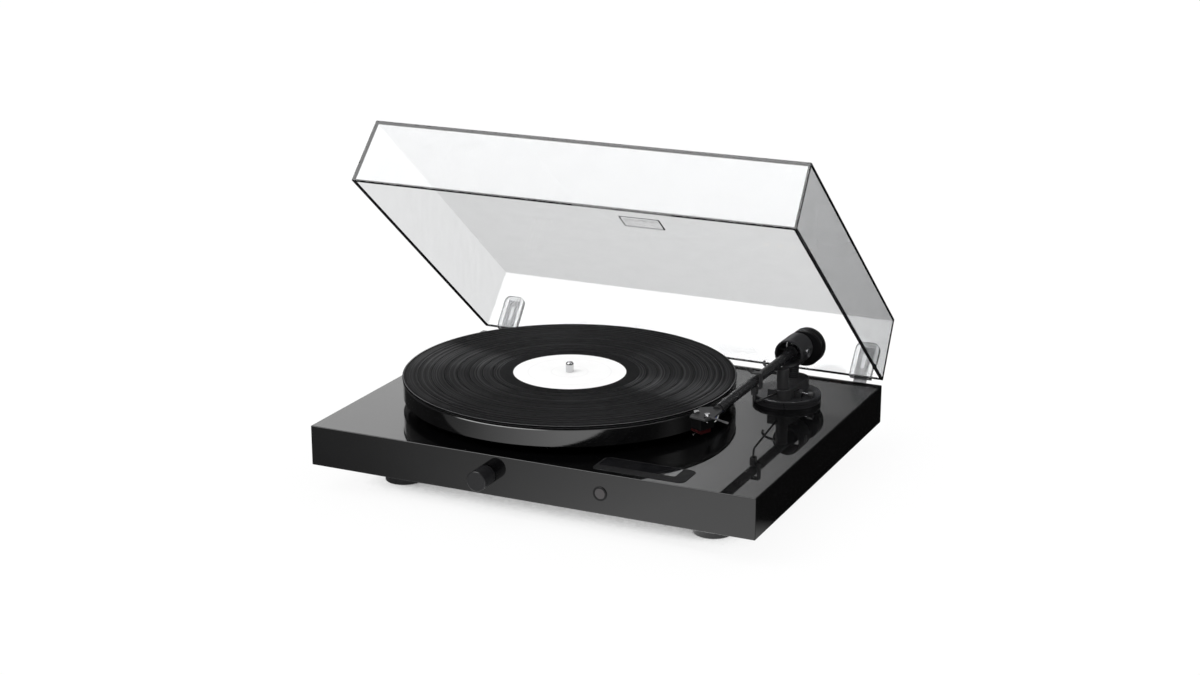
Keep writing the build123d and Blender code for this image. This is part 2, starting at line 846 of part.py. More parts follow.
with BuildPart() as drive_belt:
    for extra, mode in ((belt_thickness, Mode.ADD), (0, Mode.SUBTRACT)):
        wheel_low, pulley_near, wheel_high, pulley_far = belt_loop(extra)
        with BuildSketch(level(0, 0, belt_low)):
            with BuildLine():
                Polyline(wheel_low, pulley_near, pulley_far, wheel_high, close=True)
            make_face()
            with Locations((platter_x, platter_y)):
                Circle(belt_wheel + extra)
            with Locations((motor_x, motor_y)):
                Circle(belt_pulley + extra)
        extrude(amount=belt_width, mode=mode)
keep(drive_belt.part, "drive_belt")

with BuildPart() as motor:
    with BuildSketch(level(motor_x, motor_y, -deck_skin - motor_height)):
        Circle(motor_radius)
    extrude(amount=motor_height)
    chamfer(motor.edges().group_by(Axis.Z)[0], plinth_edge)
    with BuildSketch(level(motor_x, motor_y, -deck_skin - motor_ear_thickness)):
        SlotCenterToCenter(motor_screw_spacing, motor_ear_width)
        with Locations(*motor_screws_at):
            Circle(screw_radius, mode=Mode.SUBTRACT)
    extrude(amount=motor_ear_thickness)
    with BuildSketch(level(motor_x, motor_y, -deck_skin - motor_shaft_depth)):
        Circle(motor_shaft_radius + shaft_clearance)
    extrude(amount=motor_shaft_depth, mode=Mode.SUBTRACT)
keep(motor.part, "motor")

with BuildPart() as motor_shaft:
    with BuildSketch(level(motor_x, motor_y, -deck_skin - motor_shaft_depth)):
        Circle(motor_shaft_radius)
    extrude(amount=pulley_high + deck_skin + motor_shaft_depth)
keep(motor_shaft.part, "motor_shaft")

with BuildPart() as motor_pulley:
    with BuildSketch(level(motor_x, motor_y, pulley_low)):
        Circle(pulley_radius)
    extrude(amount=pulley_high - pulley_low)
    for height in (pulley_low, pulley_high - pulley_flange_height):
        with BuildSketch(level(motor_x, motor_y, height)):
            Circle(pulley_radius + pulley_flange)
        extrude(amount=pulley_flange_height)
    with BuildSketch(level(motor_x, motor_y, pulley_low)):
        Circle(motor_shaft_radius)
    extrude(amount=pulley_high - pulley_low, mode=Mode.SUBTRACT)
keep(motor_pulley.part, "motor_pulley")

with BuildPart() as motor_screws:
    with BuildSketch(level(motor_x, motor_y, -deck_skin - motor_ear_thickness)):
        with Locations(*motor_screws_at):
            Circle(screw_radius)
    extrude(amount=screw_short)
    with BuildSketch(level(motor_x, motor_y, -deck_skin - motor_ear_thickness - screw_head)):
        with Locations(*motor_screws_at):
            Circle(screw_head_radius)
    extrude(amount=screw_head)
keep(motor_screws.part, "motor_screws")

# ---------------------------------------------------------------- front controls
knob_back = front_y - knob_standoff
rotor_back = bay_front + encoder_cap + rotor_length

with BuildPart() as volume_knob:
    with BuildSketch(facing_front(platter_x, knob_back, -knob_drop)):
        Circle(knob_radius)
    extrude(amount=knob_length)
    chamfer(volume_knob.edges().group_by(Axis.Y)[0], knob_edge)
    with BuildSketch(facing_front(platter_x, knob_back, -knob_drop)):
        Circle(knob_radius - knob_wall)
        Circle(encoder_shaft_radius + knob_boss, mode=Mode.SUBTRACT)
    extrude(amount=knob_pocket, mode=Mode.SUBTRACT)
    with BuildSketch(facing_front(platter_x, knob_back, -knob_drop)):
        Circle(encoder_shaft_radius)
    extrude(amount=encoder_shaft_grip, mode=Mode.SUBTRACT)
keep(volume_knob.part, "volume_knob")

with BuildPart() as encoder_body:
    with BuildSketch(facing_front(platter_x, bay_front + encoder_depth, -knob_drop)):
        Rectangle(encoder_size, encoder_size)
    extrude(amount=encoder_depth)
    with BuildSketch(facing_front(platter_x, bay_front, -knob_drop)):
        Circle(bushing_radius)
    extrude(amount=wall_front)
    with BuildSketch(facing_front(platter_x, rotor_back, -knob_drop)):
        Circle(rotor_radius + shaft_clearance)
    extrude(amount=rotor_length, mode=Mode.SUBTRACT)
    with BuildSketch(facing_front(platter_x, bay_front + encoder_depth, -knob_drop)):
        Circle(encoder_shaft_radius + shaft_clearance)
    extrude(amount=encoder_depth + wall_front, mode=Mode.SUBTRACT)
keep(encoder_body.part, "encoder_body")

with BuildPart() as encoder_rotor:
    with BuildSketch(facing_front(platter_x, rotor_back, -knob_drop)):
        Circle(rotor_radius)
        Circle(encoder_shaft_radius + shaft_clearance, mode=Mode.SUBTRACT)
    extrude(amount=rotor_length)
keep(encoder_rotor.part, "encoder_rotor")

with BuildPart() as encoder_shaft:
    with BuildSketch(facing_front(platter_x, rotor_back, -knob_drop)):
        Circle(encoder_shaft_radius)
    extrude(amount=rotor_back - knob_back + encoder_shaft_grip)
keep(encoder_shaft.part, "encoder_shaft")

with BuildPart() as sensor_ring:
    with BuildSketch(facing_front(sensor_x, front_y, -knob_drop)):
        Circle(sensor_ring_radius)
    extrude(amount=sensor_ring_proud)
    chamfer(sensor_ring.edges().group_by(Axis.Y)[0], sensor_ring_edge)
    with BuildSketch(facing_front(sensor_x, front_y, -knob_drop)):
        Circle(sensor_lens_radius)
    extrude(amount=sensor_ring_proud, mode=Mode.SUBTRACT)
keep(sensor_ring.part, "sensor_ring")

with BuildPart() as sensor_lens:
    with BuildSketch(facing_front(sensor_x, front_y + sensor_lens_depth, -knob_drop)):
        Circle(sensor_lens_radius)
    extrude(amount=sensor_lens_depth + sensor_ring_proud - sensor_lens_recess)
keep(sensor_lens.part, "sensor_lens")

with BuildPart() as display_bezel:
    with BuildSketch(level(display_x, display_y, display_proud - display_thickness)):
        RectangleRounded(display_width, display_depth, display_corner)
    extrude(amount=display_thickness)
    chamfer(display_bezel.edges().group_by(Axis.Z)[-1], display_proud / 2)
    with BuildSketch(level(window_x, window_y, display_proud)):
        RectangleRounded(window_width, window_depth, window_corner)
    extrude(amount=-display_thickness, mode=Mode.SUBTRACT)
keep(display_bezel.part, "display_bezel")

with BuildPart() as display_window:
    with BuildSketch(level(window_x, window_y, module_top)):
        RectangleRounded(window_width, window_depth, window_corner)
    extrude(amount=window_thickness)
keep(display_window.part, "display_window")

with BuildPart() as display_module:
    with BuildSketch(level(window_x, window_y, module_top - module_thickness)):
        Rectangle(window_width - 2 * module_inset, window_depth - 2 * module_inset)
    extrude(amount=module_thickness)
keep(display_module.part, "display_module")

# ---------------------------------------------------------------- electronics and rear sockets
capacitors_at = [(i * capacitor_pitch, -board_depth / 4) for i in (-1, 0, 1)]

with BuildPart() as main_board:
    with BuildSketch(level(bay_x, board_y, board_base)):
        Rectangle(board_width, board_depth)
        with Locations(*standoffs_at):
            Circle(screw_radius, mode=Mode.SUBTRACT)
    extrude(amount=board_thickness)
keep(main_board.part, "main_board")

with BuildPart() as board_components:
    with BuildSketch(level(bay_x, board_y, board_top)):
        with Locations(*capacitors_at):
            Circle(capacitor_radius)
    extrude(amount=capacitor_height)
    with BuildSketch(level(bay_x, board_y + board_depth / 6, board_top)):
        Rectangle(heat_sink_length, fin_count * fin_pitch)
    extrude(amount=heat_sink_base)
    with BuildSketch(level(bay_x, board_y + board_depth / 6, board_top)):
        with GridLocations(0, fin_pitch, 1, fin_count):
            Rectangle(heat_sink_length, fin_thickness)
    extrude(amount=heat_sink_height)
keep(board_components.part, "board_components")

rca_places = [(rca_shift + (i - 1.5) * rca_pitch, 0) for i in range(4)]
post_places = [(post_shift + (i - 1.5) * post_pitch, 0) for i in range(4)]
panel_face = back_y

with BuildPart() as rear_panel:
    with BuildSketch(facing_front(panel_x, panel_face, panel_z)):
        Rectangle(panel_width, panel_height)
        with Locations((-panel_screw_x, 0), (panel_screw_x, 0)):
            Circle(screw_radius, mode=Mode.SUBTRACT)
        with Locations(*rca_places):
            Circle(rca_radius, mode=Mode.SUBTRACT)
        with Locations(*post_places):
            Circle(post_radius, mode=Mode.SUBTRACT)
        with Locations((inlet_shift, 0)):
            Rectangle(inlet_size, inlet_size, mode=Mode.SUBTRACT)
    extrude(amount=panel_thickness)
keep(rear_panel.part, "rear_panel")

with BuildPart() as rca_jacks:
    with BuildSketch(facing_front(panel_x, panel_face + rca_length, panel_z)):
        with Locations(*rca_places):
            Circle(rca_radius)
    extrude(amount=rca_length + socket_depth)
    with BuildSketch(facing_front(panel_x, panel_face + rca_flange, panel_z)):
        with Locations(*rca_places):
            Circle(rca_flange_radius)
    extrude(amount=rca_flange)
    with BuildSketch(facing_front(panel_x, panel_face + rca_length, panel_z)):
        with Locations(*rca_places):
            Circle(rca_bore)
    extrude(amount=rca_bore_depth, mode=Mode.SUBTRACT)
keep(rca_jacks.part, "rca_jacks")

with BuildPart() as speaker_sockets:
    with BuildSketch(facing_front(panel_x, panel_face + post_length, panel_z)):
        with Locations(*post_places):
            Circle(post_radius)
    extrude(amount=post_length + socket_depth)
    with BuildSketch(facing_front(panel_x, panel_face + post_length, panel_z)):
        with Locations(*post_places):
            Circle(post_bore)
    extrude(amount=post_bore_depth, mode=Mode.SUBTRACT)
    with BuildSketch(facing_front(panel_x, panel_face + post_length / 2, panel_z)):
        with Locations(*post_places):
            Circle(post_radius)
            Circle(post_radius - post_groove, mode=Mode.SUBTRACT)
    extrude(amount=post_groove, mode=Mode.SUBTRACT)
keep(speaker_sockets.part, "speaker_sockets")

with BuildPart() as power_inlet:
    with BuildSketch(facing_front(panel_x + inlet_shift, panel_face + inlet_proud, panel_z)):
        Rectangle(inlet_size, inlet_size)
    extrude(amount=inlet_proud + socket_depth)
    with BuildSketch(facing_front(panel_x + inlet_shift, panel_face + inlet_proud, panel_z)):
        Circle(inlet_bore)
        Circle(inlet_pin, mode=Mode.SUBTRACT)
    extrude(amount=inlet_depth, mode=Mode.SUBTRACT)
keep(power_inlet.part, "power_inlet")

# ---------------------------------------------------------------- tonearm base, lift and cue lever
with BuildPart() as arm_base:
    with BuildSketch(level(arm_x, base_y, 0)):
        Circle(base_radius)
    extrude(amount=base_height)
    chamfer(arm_base.edges().group_by(Axis.Z)[-1], base_edge)
    with BuildSketch(level(arm_x, base_y, base_height / 2 - base_groove_height / 2)):
        Circle(base_radius)
        Circle(base_radius - base_groove, mode=Mode.SUBTRACT)
    extrude(amount=base_groove_height, mode=Mode.SUBTRACT)
    with BuildSketch(level(0, 0, 0)):
        with Locations(*base_screws_at):
            Circle(screw_radius)
    extrude(amount=screw_long - deck_skin, mode=Mode.SUBTRACT)
keep(arm_base.part, "arm_base")

with BuildPart() as lift_block:
    with BuildSketch(level(0, 0, base_height)):
        with Locations((lift_x, lift_y)):
            Circle(lift_block_radius)
        with Locations((arm_x, pivot_y)):
            Circle(block_rear_radius)
        make_hull()
    extrude(amount=block_top - base_height)
    fillet(lift_block.edges().group_by(Axis.Z)[-1], block_edge)
    with BuildSketch(level(arm_x - fin_left / 2, pivot_y - fin_ahead + fin_depth / 2, base_height)):
        Rectangle(fin_left, fin_depth)
    extrude(amount=fin_top - base_height)
    with BuildSketch(level(lift_x, lift_y, block_top)):
        Circle(lift_rod_radius + shaft_clearance)
    extrude(amount=-lift_rod_length - part_gap, mode=Mode.SUBTRACT)
    # ears that carry the cue lever's pin
    for ear_y in (lever_y - ear_side, lever_y + ear_side + lever_ear):
        with BuildSketch(facing_front(lever_x, ear_y, lever_height)):
            Circle(lever_ear_radius)
            with Locations((0, (base_height - lever_height) / 2)):
                Rectangle(2 * lever_ear_radius, lever_height - base_height)
            with Locations((-lever_ear_reach / 2, (lever_ear_radius + base_height - lever_height) / 2)):
                Rectangle(lever_ear_reach, lever_ear_radius + lever_height - base_height)
            Circle(lever_pin_radius + shaft_clearance, mode=Mode.SUBTRACT)
        extrude(amount=lever_ear)
    # seat of the arm rest's rod
    with BuildSketch(facing_front(arm_x, rod_end_y, rod_end_height)):
        Circle(rod_radius)
    extrude(amount=rod_seat, mode=Mode.SUBTRACT)
keep(lift_block.part, "lift_block")

with BuildPart() as lift_platform:
    with BuildSketch(level(lift_x, lift_y, block_top + part_gap)):
        Circle(lift_post_radius)
    extrude(amount=lift_post_top - block_top - part_gap)
    fillet(lift_platform.edges().group_by(Axis.Z)[-1], lift_post_edge)
    with BuildSketch(level(lift_x, lift_y, block_top - lift_rod_length)):
        Circle(lift_rod_radius)
    extrude(amount=lift_rod_length + part_gap)
    with BuildLine(level(arm_x, pivot_y, lift_bar_height)) as lift_bar:
        ThreePointArc((lift_right, -lift_ahead), lift_bar_bend, lift_bar_tip)
    with BuildSketch(Plane(origin=lift_bar.line @ 0, z_dir=lift_bar.line % 0)):
        Circle(lift_bar_radius)
    sweep()
keep(lift_platform.part, "lift_platform")

with BuildPart() as cue_lever:
    with BuildSketch(facing_right(lever_x + lever_length - lever_knob_length, lever_y, lever_height)):
        Circle(lever_knob_radius)
    extrude(amount=lever_knob_length)
    fillet(cue_lever.edges().filter_by(GeomType.CIRCLE), lever_knob_edge)
    with BuildSketch(facing_front(lever_x, lever_y + lever_hub_length / 2, lever_height)):
        Circle(lever_hub_radius)
    extrude(amount=lever_hub_length)
    with BuildSketch(facing_front(lever_x, lever_y + ear_side + lever_ear, lever_height)):
        Circle(lever_pin_radius)
    extrude(amount=2 * (ear_side + lever_ear))
    with BuildSketch(facing_right(lever_x, lever_y, lever_height)):
        Circle(lever_rod_radius)
    extrude(amount=lever_length - lever_knob_length / 2)
keep(cue_lever.part, "cue_lever")

with BuildPart() as arm_pillar:
    with BuildSketch(level(arm_x, pivot_y, block_top)):
        Circle(pillar_radius)
    extrude(amount=pillar_top - block_top)
    for groove in range(pillar_groove_count):
        with BuildSketch(level(arm_x, pivot_y, pillar_top - (groove + 1) * pillar_groove_pitch)):
            Circle(pillar_radius)
            Circle(pillar_radius - pillar_groove, mode=Mode.SUBTRACT)
        extrude(amount=pillar_groove_pitch / 2, mode=Mode.SUBTRACT)
    with BuildSketch(level(arm_x, pivot_y, yaw_pin_bottom)):
        Circle(yaw_pin_radius + shaft_clearance)
    extrude(amount=pillar_top - yaw_pin_bottom, mode=Mode.SUBTRACT)
keep(arm_pillar.part, "arm_pillar")

# ---------------------------------------------------------------- gimbal, arm tube and counterweight
housing_bore = housing_radius - housing_wall
head_seat = housing_radius - pivot_head_seat
socket_floor = pivot_block_radius - pivot_socket

with BuildPart() as arm_yoke:
    with BuildSketch(facing_front(arm_x, pivot_y + housing_length / 2, arm_height)):
        Circle(housing_radius)
    extrude(amount=housing_length)
    fillet(arm_yoke.edges().filter_by(GeomType.CIRCLE), housing_edge)
    with BuildSketch(level(arm_x, pivot_y, housing_bottom - housing_foot)):
        Circle(pillar_radius)
    extrude(amount=housing_foot + housing_wall)
    with BuildSketch(level(arm_x, pivot_y, yaw_pin_bottom)):
        Circle(yaw_pin_radius)
    extrude(amount=housing_bottom - yaw_pin_bottom)
    with BuildSketch(facing_front(arm_x, pivot_y + housing_length / 2, arm_height)):
        Circle(housing_bore)
    extrude(amount=housing_length, mode=Mode.SUBTRACT)
    with BuildSketch(facing_right(arm_x - housing_radius, pivot_y, arm_height)):
        Circle(pivot_screw_radius)
    extrude(amount=2 * housing_radius, mode=Mode.SUBTRACT)
    for side in (-1, 1):
        with BuildSketch(facing_right(arm_x + side * head_seat, pivot_y, arm_height)):
            Circle(pivot_head_radius)
        extrude(amount=side * pivot_head_seat, mode=Mode.SUBTRACT)
keep(arm_yoke.part, "arm_yoke")

head_face = housing_radius + pivot_head_proud

with BuildPart() as pivot_screws:
    for side in (-1, 1):
        with BuildSketch(facing_right(arm_x + side * (socket_floor + part_gap), pivot_y, arm_height)):
            Circle(pivot_screw_radius)
        extrude(amount=side * (head_seat - socket_floor - part_gap))
        with BuildSketch(facing_right(arm_x + side * head_seat, pivot_y, arm_height)):
            Circle(pivot_head_radius)
        extrude(amount=side * (pivot_head_seat + pivot_head_proud))
        with BuildSketch(facing_right(arm_x + side * head_face, pivot_y, arm_height)):
            RegularPolygon(drive_radius, 6)
        extrude(amount=-side * drive_depth, mode=Mode.SUBTRACT)
keep(pivot_screws.part, "pivot_screws")

with BuildPart() as arm_tube:
    with BuildSketch(facing_front(arm_x, pivot_y + pivot_block_length / 2, arm_height)):
        Circle(pivot_block_radius)
    extrude(amount=pivot_block_length)
    with BuildSketch(facing_front(arm_x, pivot_y, arm_height)):
        Circle(tube_radius)
    extrude(amount=tube_front)
    with BuildSketch(facing_front(arm_x, pivot_y - pivot_block_length / 2, arm_height)):
        Circle(tube_radius - tube_wall)
    extrude(amount=tube_front - pivot_block_length / 2, mode=Mode.SUBTRACT)
    with BuildSketch(facing_back(arm_x, pivot_y, arm_height)):
        Circle(stub_radius)
    extrude(amount=stub_rear)
    for side in (-1, 1):
        with BuildSketch(facing_right(arm_x + side * socket_floor, pivot_y, arm_height)):
            Circle(pivot_screw_radius + shaft_clearance)
        extrude(amount=side * pivot_socket, mode=Mode.SUBTRACT)
keep(arm_tube.part, "arm_tube")

weight_middle_y = pivot_y + weight_rear - weight_length / 2

with BuildPart() as counterweight:
    with BuildSketch(facing_front(arm_x, pivot_y + weight_rear, arm_height - weight_drop)):
        Circle(weight_radius)
    extrude(amount=weight_length)
    chamfer(counterweight.edges().filter_by(GeomType.CIRCLE), weight_edge)
    with BuildSketch(facing_front(arm_x, weight_middle_y, arm_height - weight_drop)):
        Circle(weight_radius)
        Circle(weight_radius - weight_groove, mode=Mode.SUBTRACT)
    extrude(amount=weight_groove, both=True, mode=Mode.SUBTRACT)
    with BuildSketch(facing_front(arm_x, pivot_y + weight_rear, arm_height)):
        Circle(stub_radius + shaft_clearance)
    extrude(amount=weight_length, mode=Mode.SUBTRACT)
keep(counterweight.part, "counterweight")

# ---------------------------------------------------------------- headshell and cartridge
mounts_at = [(0, side * mount_spacing / 2) for side in (-1, 1)]

with BuildPart() as headshell:
    with BuildSketch(on_arm(0, 0, plate_bottom)) as shell_face:
        with BuildLine():
            Polyline(*shell_outline, close=True)
        make_face()
        fillet(shell_face.vertices(), shell_corner)
    extrude(amount=plate_thickness)
    chamfer(headshell.edges().group_by(Axis.Z)[-1], plate_edge)
    with BuildSketch(facing_front(arm_x, pivot_y - tube_front + plug_length, arm_height)):
        Circle(tube_radius - tube_wall)
        with Locations((0, -tube_radius - plug_flat)):
            Rectangle(2 * tube_radius, 2 * tube_radius, mode=Mode.SUBTRACT)
    extrude(amount=plug_length + plug_neck)
    with BuildSketch(on_cartridge(plate_bottom)):
        with Locations(*mounts_at):
            SlotOverall(slot_length, slot_width)
    extrude(amount=plate_thickness, mode=Mode.SUBTRACT)
keep(headshell.part, "headshell")

with BuildPart() as finger_lift:
    with BuildSketch(on_cartridge(plate_top)):
        with Locations(mounts_at[1]):
            Circle(cartridge_head_radius)
            Circle(cartridge_screw_radius, mode=Mode.SUBTRACT)
        with Locations((0, mounts_at[1][1] + cartridge_screw_radius + finger_tab / 2)):
            Rectangle(2 * finger_radius, finger_tab)
    extrude(amount=finger_washer)
    finger_start = mounts_at[1][1] + cartridge_head_radius + shaft_clearance
    finger_axis = on_cartridge(plate_top + finger_radius)
    finger_root = finger_axis.origin + finger_axis.y_dir * finger_start
    with BuildSketch(Plane(origin=finger_root, z_dir=finger_axis.y_dir)):
        Circle(finger_radius)
    extrude(amount=mounts_at[1][1] + finger_length - finger_pad_length - finger_start)
    with BuildSketch(on_cartridge(plate_top + finger_radius - finger_pad_thickness / 2)):
        with Locations((0, mounts_at[1][1] + finger_length - finger_pad_length / 2 - finger_radius)):
            RectangleRounded(finger_pad_width, finger_pad_length + 2 * finger_radius, finger_pad_corner)
    extrude(amount=finger_pad_thickness)
keep(finger_lift.part, "finger_lift")

with BuildPart() as cartridge_body:
    with BuildSketch(on_cartridge(cartridge_bottom)):
        with Locations(((cartridge_front - cartridge_back) / 2, 0)):
            Rectangle(cartridge_front + cartridge_back, cartridge_width)
    extrude(amount=cartridge_height)
    chamfer(cartridge_body.edges().filter_by(Axis.Z), cartridge_edge)
    with BuildSketch(on_cartridge(flange_bottom)):
        Rectangle(cartridge_flange_length, cartridge_flange_width)
    extrude(amount=cartridge_flange)
    with BuildSketch(on_cartridge(plate_bottom)):
        with Locations(*mounts_at):
            Circle(cartridge_screw_radius)
    extrude(amount=-cartridge_screw_grip, mode=Mode.SUBTRACT)
keep(cartridge_body.part, "cartridge_body")

with BuildPart() as cartridge_screws:
    for place, rise in zip(mounts_at, (0, finger_washer)):
        with BuildSketch(on_cartridge(plate_bottom - cartridge_screw_grip)):
            with Locations(place):
                Circle(cartridge_screw_radius)
        extrude(amount=cartridge_screw_grip + plate_thickness + rise)
        with BuildSketch(on_cartridge(plate_top + rise)):
            with Locations(place):
                Circle(cartridge_head_radius)
        extrude(amount=cartridge_head)
        with BuildSketch(on_cartridge(plate_top + rise + cartridge_head)):
            with Locations(place):
                Rectangle(cartridge_drive_width, 2 * cartridge_head_radius)
        extrude(amount=-cartridge_drive_width, mode=Mode.SUBTRACT)
keep(cartridge_screws.part, "cartridge_screws")

# The cantilever runs from inside the stylus holder down to the tip
side_view = beside_cartridge(0)
cantilever_from = side_view.from_local_coords(Vector(cantilever_start, cartridge_bottom - cantilever_drop))
cantilever_to = side_view.from_local_coords(Vector(tip_ahead, tip_z + tip_height))
cantilever_plane = Plane(origin=cantilever_from, z_dir=cantilever_to - cantilever_from)
cantilever_length = (cantilever_to - cantilever_from).length

with BuildPart() as stylus_holder:
    with BuildSketch(beside_cartridge(stylus_width / 2)):
        with BuildLine():
            Polyline((-stylus_back, cartridge_bottom),
                     (stylus_front, cartridge_bottom),
                     (stylus_front, cartridge_bottom - stylus_lip),
                     (stylus_toe, cartridge_bottom - stylus_height),
                     (-stylus_back, cartridge_bottom - stylus_height),
                     close=True)
        make_face()
    extrude(amount=stylus_width)
    with BuildSketch(cantilever_plane):
        Circle(cantilever_radius)
    extrude(amount=cantilever_length, mode=Mode.SUBTRACT)
keep(stylus_holder.part, "stylus_holder")

with BuildPart() as cantilever:
    with BuildSketch(cantilever_plane):
        Circle(cantilever_radius)
    extrude(amount=cantilever_length + cantilever_radius)
    for height, radius in ((tip_z + tip_height, tip_radius), (tip_z, tip_radius / 4)):
        with BuildSketch(on_cartridge(height)):
            with Locations((tip_ahead, 0)):
                Circle(radius)
    loft()
keep(cantilever.part, "cantilever")

# Four leads run from the cartridge's terminals to the mouth of the arm tube
lead_rows = [(-1.5, -1, -1), (-0.5, -1, 1), (0.5, 1, 1), (1.5, 1, -1)]
terminal_z = (cartridge_bottom + flange_bottom) / 2

with BuildPart() as cartridge_leads:
    for slot, across, up in lead_rows:
        rear_view = on_cartridge(terminal_z + up * terminal_pitch / 2)
        outward = rear_view.x_dir * -1
        pin_base = rear_view.from_local_coords(Vector(-cartridge_back, across * terminal_pitch / 2))
        with BuildSketch(Plane(origin=pin_base, z_dir=outward)):
            Circle(terminal_radius)
        extrude(amount=terminal_length)
        lead_start = pin_base + outward * terminal_length
        lead_end = on_arm(tube_front - lead_depth, slot * lead_spread, arm_height - lead_depth).origin
        with BuildLine() as lead_path:
            Spline(lead_start, lead_end, tangents=[outward, (0, 1, 0)])
        with BuildSketch(Plane(origin=lead_start, z_dir=outward)):
            Circle(lead_radius)
        sweep(path=lead_path.line)
keep(cartridge_leads.part, "cartridge_leads")

# ---------------------------------------------------------------- arm rest
with BuildPart() as arm_rest_rod:
    with BuildLine(facing_right(arm_x, 0, 0)) as rod_path:
        FilletPolyline((rod_end_y, rod_end_height), (rod_end_y - rod_level_run, rod_end_height),
                       (rod_y, rod_corner_height), (rod_y, rest_column_bottom + rod_seat), radius=rod_bend)
    with BuildSketch(Plane(origin=rod_path.line @ 0, z_dir=rod_path.line % 0)):
        Circle(rod_radius)
    sweep()
keep(arm_rest_rod.part, "arm_rest_rod")

rest_right = tube_radius + rest_side_gap
rest_low = -tube_radius - rest_under_gap
rest_high = tube_radius + rest_over_gap
rest_half = rest_column_width / 2
rest_lip = rest_wall / 2

with BuildPart() as arm_rest_clip:
    with BuildSketch(facing_front(arm_x, rod_y + rest_length / 2, arm_height)) as clip_face:
        with BuildLine():
            Polyline((-rest_half, rest_low),
                     (rest_right, rest_low),
                     (rest_right, rest_high),
                     (-rest_half, rest_high),
                     (-rest_tip_reach, rest_high + rest_tip_rise),
                     (-rest_tip_reach + rest_lip, rest_high + rest_tip_rise + rest_lip),
                     (-rest_half + rest_lip, rest_high + rest_wall),
                     (rest_right + rest_wall, rest_high + rest_wall),
                     (rest_right + rest_wall, rest_low - rest_wall),
                     (rest_half, rest_low - rest_wall),
                     (rest_half, rest_column_bottom - arm_height),
                     (-rest_half, rest_column_bottom - arm_height),
                     close=True)
        make_face()
        right_side = clip_face.vertices().filter_by(lambda v: v.X > rest_half + rest_wall)
        low_side = right_side.filter_by(lambda v: v.Y < 0)
        high_side = right_side.filter_by(lambda v: v.Y > 0)
        fillet(low_side.sort_by(Axis.X)[0], rest_low_corner)
        fillet(low_side.sort_by(Axis.X)[-1], rest_low_corner + rest_wall)
        fillet(high_side.sort_by(Axis.X)[0], rest_high_corner)
        fillet(high_side.sort_by(Axis.X)[-1], rest_high_corner + rest_wall)
    extrude(amount=rest_length)
    with BuildSketch(level(arm_x, rod_y, rest_column_bottom)):
        Circle(rod_radius)
    extrude(amount=rod_seat, mode=Mode.SUBTRACT)
keep(arm_rest_clip.part, "arm_rest_clip")

# ---------------------------------------------------------------- dust cover
lid_up = Axis((0, 0, 0), on_lid(0, 0, 0).z_dir)


def cover_outline(height, inset):
    """Half width, rear and front of the cover at a height above its rim, set in by a wall."""
    share = height / lid_height
    half = lid_width / 2 - lid_draft_side * share - inset
    rear = lid_rear - lid_draft_rear * share - inset
    front = lid_rear - lid_depth + lid_draft_front * share + inset
    return half, rear, front


with BuildPart() as lid:
    for height in (0, lid_height):
        half, rear, front = cover_outline(height, 0)
        with BuildSketch(on_lid(0, (rear + front) / 2, lid_rim + height)):
            Rectangle(2 * half, rear - front)
    loft()
    rim_edges = lid.edges().group_by(lid_up)[0]
    fillet(lid.edges() - rim_edges, lid_edge)
    for height in (0, lid_height - lid_wall):
        half, rear, front = cover_outline(height, lid_wall)
        with BuildSketch(on_lid(0, (rear + front) / 2, lid_rim + height)):
            Rectangle(2 * half, rear - front)
    loft(mode=Mode.SUBTRACT)
keep(lid.part, "lid")

with BuildPart() as lid_badge:
    with BuildSketch(on_lid(0, roof_y, lid_top)):
        Rectangle(badge_width, badge_depth)
    extrude(amount=badge_thickness)
    chamfer(lid_badge.edges().group_by(lid_up)[-1], badge_edge)
keep(lid_badge.part, "lid_badge")

# ---------------------------------------------------------------- hinges
with BuildPart() as hinge_sleeves:
    for side in (-1, 1):
        with BuildSketch(on_rear_wall(side * hinge_x, 0)) as sleeve_face:
            with Locations((0, sleeve_height / 2)):
                Rectangle(sleeve_width, sleeve_height)
            fillet(sleeve_face.vertices().sort_by(Axis.Y)[-2:], sleeve_corner)
        extrude(amount=sleeve_thickness)
        with BuildSketch(on_rear_wall(side * hinge_x, sleeve_inner_wall)):
            with Locations((0, (sleeve_height - sleeve_cap) / 2)):
                Rectangle(tongue_width + 2 * shaft_clearance, sleeve_height - sleeve_cap)
        extrude(amount=tongue_thickness, mode=Mode.SUBTRACT)
keep(hinge_sleeves.part, "hinge_sleeves")

tongue_top = sleeve_height - tongue_top_gap

with BuildPart() as hinge_tongues:
    for side in (-1, 1):
        with BuildSketch(on_rear_wall(side * hinge_x, sleeve_inner_wall)):
            with Locations((0, (tongue_top - knuckle_drop) / 2)):
                Rectangle(tongue_width, tongue_top + knuckle_drop)
            with Locations((0, tongue_top - tongue_slot_top - tongue_slot_length / 2)):
                SlotOverall(tongue_slot_length, tongue_slot_width, rotation=90, mode=Mode.SUBTRACT)
        extrude(amount=tongue_thickness)
        with BuildSketch(across_hinge(side * hinge_x - tongue_width / 2)):
            Circle(knuckle_radius)
        extrude(amount=tongue_width)
        with BuildSketch(across_hinge(side * hinge_x - tongue_width / 2)):
            Circle(hinge_pin_radius + shaft_clearance)
        extrude(amount=tongue_width, mode=Mode.SUBTRACT)
keep(hinge_tongues.part, "hinge_tongues")

with BuildPart() as hinge_pins:
    for side in (-1, 1):
        with BuildSketch(across_hinge(side * hinge_x - hinge_pin_reach)):
            Circle(hinge_pin_radius)
        extrude(amount=2 * hinge_pin_reach)
keep(hinge_pins.part, "hinge_pins")

